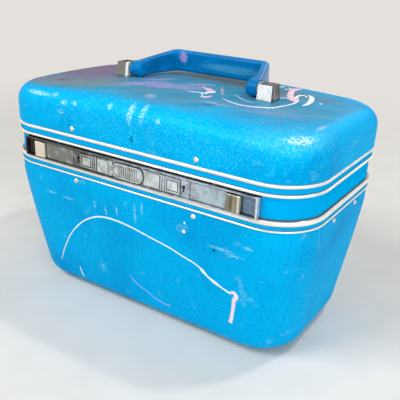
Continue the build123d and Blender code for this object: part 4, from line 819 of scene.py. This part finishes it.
def swollen(skin, pressure, puff, seam_depth):
    """Lets the padding push simulated cloth inwards between the places where it is sewn down."""
    def held(place):
        return float(seam_depth(place) < SEWN_BELOW)

    cloth = skin.modifiers.new("cloth", "CLOTH")
    cloth.settings.vertex_group_mass = weighted(skin, "sewn", held)
    cloth.settings.tension_stiffness = SATIN_STIFFNESS
    cloth.settings.compression_stiffness = SATIN_STIFFNESS
    cloth.settings.use_pressure = True
    cloth.settings.uniform_pressure_force = -pressure
    cloth.settings.effector_weights.gravity = 0.0
    cloth.point_cache.frame_end = CLOTH_FRAMES
    flat = [corner.co.copy() for corner in skin.data.vertices]
    for step in range(1, CLOTH_FRAMES + 1):
        bpy.context.scene.frame_set(step)
    bpy.context.view_layer.objects.active = skin
    bpy.ops.object.modifier_apply(modifier=cloth.name)
    bpy.context.scene.frame_set(1)
    for corner, start in zip(skin.data.vertices, flat):
        moved = corner.co - start
        corner.co = start + moved * min(1.0, puff / max(moved.length, 0.001 * MM))


def quilted(skin, sizes, seam_depth):
    """Swells a skin as padded cloth, sews narrow channels into it and gives it its thickness.
    seam_depth says for each place how far from a seam it is, from 0 on the seam to 1."""
    def narrow(place):
        return (1.0 - seam_depth(place)) ** 1.5

    swollen(skin, sizes.pressure, sizes.puff, seam_depth)
    smooth = skin.modifiers.new("smooth", "SUBSURF")
    smooth.levels = 1
    bpy.ops.object.modifier_apply(modifier=smooth.name)
    skin.vertex_groups.clear()
    sew = skin.modifiers.new("sew", "DISPLACE")
    sew.vertex_group = weighted(skin, "channels", narrow)
    sew.direction = "NORMAL"
    sew.mid_level = 0.0
    sew.strength = sizes.seam
    thicken = skin.modifiers.new("thicken", "SOLIDIFY")
    thicken.thickness = sizes.lining_wall
    thicken.offset = 1.0
    bpy.ops.object.modifier_apply(modifier=sew.name)
    bpy.ops.object.modifier_apply(modifier=thicken.name)
    skin.vertex_groups.clear()
    bpy.ops.object.shade_smooth()


def channel_depth(share):
    """Rounded profile of one padded channel, from 0 at its seams to 1 in the middle."""
    return abs(math.sin(math.pi * share)) ** 0.5


# Operators, one for each piece or group of like pieces
class CASE_OT_shells(bpy.types.Operator):
    """Finish the two moulded shells"""
    bl_idname = "case.shells"
    bl_label = "Shells"

    def execute(self, context):
        colours, sizes = context.scene.case_colours, context.scene.case_sizes
        dress(["body_shell"], pebbled_abs(colours, sizes, False))
        dress(["lid_shell"], pebbled_abs(colours, sizes, True))
        return {"FINISHED"}


class CASE_OT_frames(bpy.types.Operator):
    """Finish the aluminium frames and the rivets through them"""
    bl_idname = "case.frames"
    bl_label = "Frames and rivets"

    def execute(self, context):
        colours = context.scene.case_colours
        dress(["body_frame", "lid_frame"], inlaid_aluminium(colours))
        domed = plated_zinc("domed_aluminium_rivet", linear("#F2EDE2"), linear("#B5AA8C"), (0.1, 0.5), 0.1)
        dress(["body_rivets", "lid_rivets"], domed)
        return {"FINISHED"}


class CASE_OT_latch_bar(bpy.types.Operator):
    """Finish the latch bar, its trim, its latches and its locks"""
    bl_idname = "case.latch_bar"
    bl_label = "Latch bar"

    def execute(self, context):
        colours = context.scene.case_colours
        bar = plated_zinc("chromed_zinc_bar", colours.chrome, colours.tarnish, (0.0, 1.2), 0.5, 0.7,
                          recess=(BAR_RECESS, 0.35, linear("#5B6264")),
                          wear=placed_marks(colours, BAR_WEAR, BAR_Z))
        trim = plated_zinc("chromed_zinc_trim", linear("#DCEAF4"), linear("#A9A89A"), (0.0, 0.9), 0.2, 0.55,
                           recess=(TRIM_RECESS, 0.2, linear("#8A9498")))
        slide = plated_zinc("chromed_zinc_slide", linear("#B8CEDA"), linear("#7C7B70"), (0.0, 1.0), 0.3, 0.7,
                            wear=placed_marks(colours, SLIDE_WEAR_AND_HIGHLIGHT, BAR_Z))
        dress(["latch_bar"], bar)
        dress(["latch_bar_trim", "latch_bar_badge"], trim)
        dress(both("latch_slide"), slide)
        dress(["latch_bar_screws", *both("latch_bolt"), *both("latch_hook")],
              zinc_plated_steel("zinc_plated_steel", linear("#B8BCBE"), 0.5))
        dress(both("lock_plug"), zinc_plated_steel("blackened_brass", linear("#0C0A08"), 0.2, "#1C1814"))
        return {"FINISHED"}


class CASE_OT_hinges(bpy.types.Operator):
    """Finish the hinges"""
    bl_idname = "case.hinges"
    bl_label = "Hinges"

    def execute(self, context):
        nickel = zinc_plated_steel("nickel_plated_steel", linear("#C6C6BF"), 0.7)
        dress([*both("hinge_body_leaf"), *both("hinge_lid_leaf"), *both("hinge_pin")], nickel)
        dress(["hinge_body_rivets", "hinge_lid_rivets"], nickel)
        return {"FINISHED"}


class CASE_OT_handle(bpy.types.Operator):
    """Finish the handle and what holds it"""
    bl_idname = "case.handle"
    bl_label = "Handle"

    def execute(self, context):
        colours = context.scene.case_colours
        acetate = moulded_plastic("moulded_acetate_handle", colours.handle, colours.handle_deep, 0.14, 3 * MM,
                                  placed_marks(colours, HANDLE_STAINS_AND_SHEEN))
        nylon = moulded_plastic("moulded_nylon_washer", colours.washer, linear("#C9C6BA"), 0.35, 1 * MM)
        # The left post's front is dulled, and a painted highlight lies along its right edge
        low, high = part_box("left_handle_post")
        middle_z = (low.z + high.z) / 2
        post_wear_and_highlight = [((low.x + 5 * MM, low.y, middle_z), metres((8, 8, 14)), 0.6, linear("#77756A")),
                     ((high.x - 1.6 * MM, low.y, middle_z), metres((1.8, 8, 14)), 1.0, linear("#FFFFFC"))]
        # The posts' tops carry a painted dark reflection and their right sides painted shade
        post = plated_zinc("chromed_zinc_post", linear("#FFFFFC"), linear("#8C8B80"), (-0.2, 1.2), 0.25, 0.3,
                           painted_dark_faces=True, wear=post_wear_and_highlight)
        dress(["handle"], acetate)
        dress(both("handle_washer"), nylon)
        dress(both("handle_post"), post)
        steel = zinc_plated_steel("zinc_plated_steel_fixing", linear("#B4B8BA"), 0.4)
        dress([*both("handle_pin"), *both("handle_backing"), *both("handle_screw")], steel)
        return {"FINISHED"}


class CASE_OT_paint_marks(bpy.types.Operator):
    """Model the dried paint on the front and on top of the lid"""
    bl_idname = "case.paint_marks"
    bl_label = "Paint marks"

    def execute(self, context):
        colours, sizes = context.scene.case_colours, context.scene.case_sizes
        paints = {}
        for paint, (name, colour, other) in PAINTS.items():
            paints[paint] = dried_enamel(name, shade_of(colours, colour), shade_of(colours, other))
        front, top = Vector((0, -1, 0)), Vector((0, 0, 1))
        strokes = [(name, "body_shell", "case", front, paint, [((x, 0, z), width) for x, z, width in places])
                   for name, paint, places in FRONT_STROKES]
        strokes += [(name, "lid_shell", "lid", top, paint, [((x, y, 0), width) for x, y, width in places])
                    for name, paint, places in LID_STROKES]
        for name, shell, rides_on, facing, paint, places in strokes:
            stroke = paint_stroke(name, NODES[shell], facing, places, sizes.paint_height)
            stroke.data.materials.append(paints[paint])
            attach(stroke, rides_on)
        return {"FINISHED"}


class CASE_OT_linings(bpy.types.Operator):
    """Model the padded cloth linings of the body and the lid"""
    bl_idname = "case.linings"
    bl_label = "Linings"

    def execute(self, context):
        colours, sizes = context.scene.case_colours, context.scene.case_sizes
        satin = woven_satin(colours)
        floor_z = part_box("body_lining")[0].z
        body_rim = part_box("body_lining")[1].z
        lid_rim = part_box("lid_lining")[0].z
        mirror_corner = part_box("mirror_frame")[1]

        def body_seams(place):
            across = perimeter_place(place.x, place.y) / sizes.quilt
            if place.z < floor_z + FLOOR_EDGE:
                return 0.0
            return channel_depth(across) * min(1.0, (body_rim - place.z) / RIM_FADE)

        def lid_seams(place):
            beside = max(abs(place.x) - mirror_corner.x, abs(place.y) - mirror_corner.y)
            around = min(1.0, max(0.0, beside / MIRROR_FADE))
            rim = min(1.0, max(0.0, (place.z - lid_rim) / RIM_FADE))
            across = channel_depth(perimeter_place(place.x, place.y) / sizes.quilt)
            return across * around * rim

        body = lining_cavity("body_lining", "body_lining_padded", body_rim)
        quilted(body, sizes, body_seams)
        lid = lining_cavity("lid_lining", "lid_lining_padded", lid_rim)
        quilted(lid, sizes, lid_seams)
        for piece, rides_on, node in ((body, "case", "body_lining"), (lid, "lid", "lid_lining")):
            piece.data.materials.append(satin)
            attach(piece, rides_on)
            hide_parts(node)
        return {"FINISHED"}


class CASE_OT_inside(bpy.types.Operator):
    """Finish the tray, its rests and the mirror"""
    bl_idname = "case.inside"
    bl_label = "Tray and mirror"

    def execute(self, context):
        colours = context.scene.case_colours
        grain = 1.5 * MM
        for names, name, colour, deep, roughness in (
                (["tray"], "moulded_styrene_tray", colours.tray, "#C3CBCB", 0.3),
                (both("tray_rest"), "moulded_abs_ledge", colours.lining, "#8FA9BC", 0.4),
                (["mirror_frame"], "moulded_mirror_surround", colours.lining, "#9CB6C8", 0.3)):
            dress(names, moulded_plastic(name, colour, linear(deep), roughness, grain))
        dress(["mirror"], silvered_glass())
        return {"FINISHED"}


class CASE_OT_feet(bpy.types.Operator):
    """Finish the rubber feet"""
    bl_idname = "case.feet"
    bl_label = "Feet"

    def execute(self, context):
        dress([*both("front_foot"), *both("rear_foot")], moulded_rubber(context.scene.case_colours))
        return {"FINISHED"}


# Soft studio lamps: name, place, what it points at, width and height in metres, and power in watts
LAMPS = (
    ("key_window", (-0.6, -1.0, 1.25), (0, 0, 0.12), (0.8, 0.6), 15.0),
    ("fill_right", (1.2, -0.85, 0.5), (0, 0, 0.1), (0.7, 0.6), 10.0),
    ("small_lamp", (0.51, 0.31, 1.3), (0.15, -0.08, 0.2), (0.08, 0.08), 4.0),
    ("rear_soft", (0.2, 1.3, 0.9), (0, 0, 0.15), (0.9, 0.5), 4.0),
)


class CASE_OT_studio(bpy.types.Operator):
    """Set up the floor, the backdrop, the lights and the camera"""
    bl_idname = "case.studio"
    bl_label = "Studio"

    def execute(self, context):
        colours = context.scene.case_colours
        make_floor(colours)
        make_world(context.scene, colours)
        for each in LAMPS:
            lamp(*each)
        make_camera(context.scene)
        context.scene.view_settings.view_transform = "Standard"
        return {"FINISHED"}


def make_floor(colours):
    """A wide floor that the case stands on."""
    bpy.ops.object.select_all(action="DESELECT")
    bpy.ops.mesh.primitive_plane_add(size=30.0, location=(0, 0, 0))
    floor = bpy.context.object
    floor.name = "floor"
    # Matt paper: the shadow stays near the case, further off the camera sees the paper's own colour
    material, put, place = new_material("matt_studio_paper", {"IOR": 1.3})
    fibre = patchy(put, place, 50 * MM, detail=4.0)
    paper = put("ShaderNodeValToRGB", {"Fac": fibre}, ramp=[
        (0.0, tuple(colours.floor)), (1.0, linear("#DEDBD5"))])
    rough = put("ShaderNodeMapRange", {"Value": fibre, "To Min": 0.8, "To Max": 0.95})
    finish_material(material, paper, rough, fibre, 0.01 * MM)
    away = put("ShaderNodeVectorMath", {0: place}, operation="LENGTH")
    far = put("ShaderNodeMapRange", {"Value": away, "From Min": 0.3, "From Max": 1.3},
              interpolation_type="SMOOTHSTEP")
    seen = put("ShaderNodeMath", {0: far, 1: direct_view(put)}, operation="MULTIPLY")
    own_colour = put("ShaderNodeEmission", {"Color": tuple(colours.floor)})
    tree = material.node_tree
    lit = tree.nodes["Principled BSDF"]
    either = put("ShaderNodeMixShader", {0: seen, 1: lit, 2: own_colour})
    tree.links.new(either.outputs[0], tree.nodes["Material Output"].inputs["Surface"])
    floor.data.materials.append(material)


def direct_view(put):
    """1 for what the camera sees, straight or in a mirror or glass, and 0 for light on its way."""
    path = put("ShaderNodeLightPath")
    reflected = put("ShaderNodeMath", {
        0: path.outputs["Is Glossy Ray"], 1: path.outputs["Is Transmission Ray"]}, operation="MAXIMUM")
    return put("ShaderNodeMath", {0: path.outputs["Is Camera Ray"], 1: reflected}, operation="MAXIMUM")


def make_world(scene, colours):
    """Soft light from all round; the camera, mirrors and glass see the backdrop's own colour."""
    world = bpy.data.worlds.new("studio")
    world.use_nodes = True
    tree = world.node_tree
    tree.nodes.clear()
    put = partial(add_node, tree)
    light = put("ShaderNodeBackground", {"Color": linear("#F4F6F8"), "Strength": 0.42})
    backdrop = put("ShaderNodeBackground", {"Color": tuple(colours.floor), "Strength": 1.0})
    either = put("ShaderNodeMixShader", {0: direct_view(put), 1: light, 2: backdrop})
    put("ShaderNodeOutputWorld", {"Surface": either})
    scene.world = world


def lamp(name, place, aim, size, power):
    """A soft rectangular lamp that points at a place."""
    bpy.ops.object.select_all(action="DESELECT")
    bpy.ops.object.light_add(type="AREA", location=place)
    made = bpy.context.object
    made.name = name
    made.data.shape = "RECTANGLE"
    made.data.size, made.data.size_y = size
    made.data.energy = power
    made.rotation_euler = (Vector(aim) - Vector(place)).to_track_quat("-Z", "Y").to_euler()


# Camera, fitted to the beads, the bar and the handle posts of the photograph. Its focal length is in
# pixels of the photograph, and the sensor's width in millimetres.
CAMERA_TARGET = Vector((0.01485, 0.0, 0.10553))
CAMERA_AZIMUTH = math.radians(32.11)
CAMERA_ELEVATION = math.radians(22.31)
CAMERA_ROLL = math.radians(2.64)
CAMERA_DISTANCE = 0.63246
CAMERA_FOCUS_PX = 587.63
PICTURE_PX = 400
SENSOR = 36.0


def make_camera(scene):
    """The photograph's camera: `back` points from its target to it, and it is rolled about that line."""
    level = math.cos(CAMERA_ELEVATION)
    back = Vector((math.sin(CAMERA_AZIMUTH) * level, -math.cos(CAMERA_AZIMUTH) * level,
                   math.sin(CAMERA_ELEVATION)))
    right = Vector((math.cos(CAMERA_AZIMUTH), math.sin(CAMERA_AZIMUTH), 0.0))
    up = back.cross(right)
    turned_right = right * math.cos(CAMERA_ROLL) + up * math.sin(CAMERA_ROLL)
    turned_up = up * math.cos(CAMERA_ROLL) - right * math.sin(CAMERA_ROLL)
    bpy.ops.object.select_all(action="DESELECT")
    bpy.ops.object.camera_add(location=(0, 0, 0))
    camera = bpy.context.object
    camera.name = "camera"
    axes = Matrix((turned_right, turned_up, back)).transposed().to_4x4()
    camera.matrix_world = Matrix.Translation(CAMERA_TARGET + back * CAMERA_DISTANCE) @ axes
    camera.data.sensor_width = SENSOR
    camera.data.lens = CAMERA_FOCUS_PX / PICTURE_PX * SENSOR
    camera.data.clip_start = 0.01
    camera.data.clip_end = 60.0
    scene.camera = camera


STEPS = ("shells", "frames", "latch_bar", "hinges", "handle", "paint_marks", "linings", "inside", "feet",
         "studio")


class CASE_PT_panel(bpy.types.Panel):
    """Lists the steps that finish the case"""
    bl_label = "Train case"
    bl_idname = "CASE_PT_panel"
    bl_space_type = "VIEW_3D"
    bl_region_type = "UI"
    bl_category = "Train case"

    def draw(self, context):
        for step in STEPS:
            self.layout.operator(f"case.{step}")
        for group in (context.scene.case_colours, context.scene.case_sizes):
            column = self.layout.column()
            for name in group.__annotations__:
                column.prop(group, name)


CLASSES = (CaseColours, CaseSizes, CASE_OT_shells, CASE_OT_frames, CASE_OT_latch_bar, CASE_OT_hinges,
           CASE_OT_handle, CASE_OT_paint_marks, CASE_OT_linings, CASE_OT_inside, CASE_OT_feet, CASE_OT_studio,
           CASE_PT_panel)


def register():
    for made in CLASSES:
        bpy.utils.register_class(made)
    bpy.types.Scene.case_colours = bpy.props.PointerProperty(type=CaseColours)
    bpy.types.Scene.case_sizes = bpy.props.PointerProperty(type=CaseSizes)


def unregister():
    del bpy.types.Scene.case_sizes
    del bpy.types.Scene.case_colours
    for made in reversed(CLASSES):
        bpy.utils.unregister_class(made)


def main():
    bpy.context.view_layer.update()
    register()
    for step in STEPS:
        getattr(bpy.ops.case, step)()


if __name__ == "__main__":
    main()
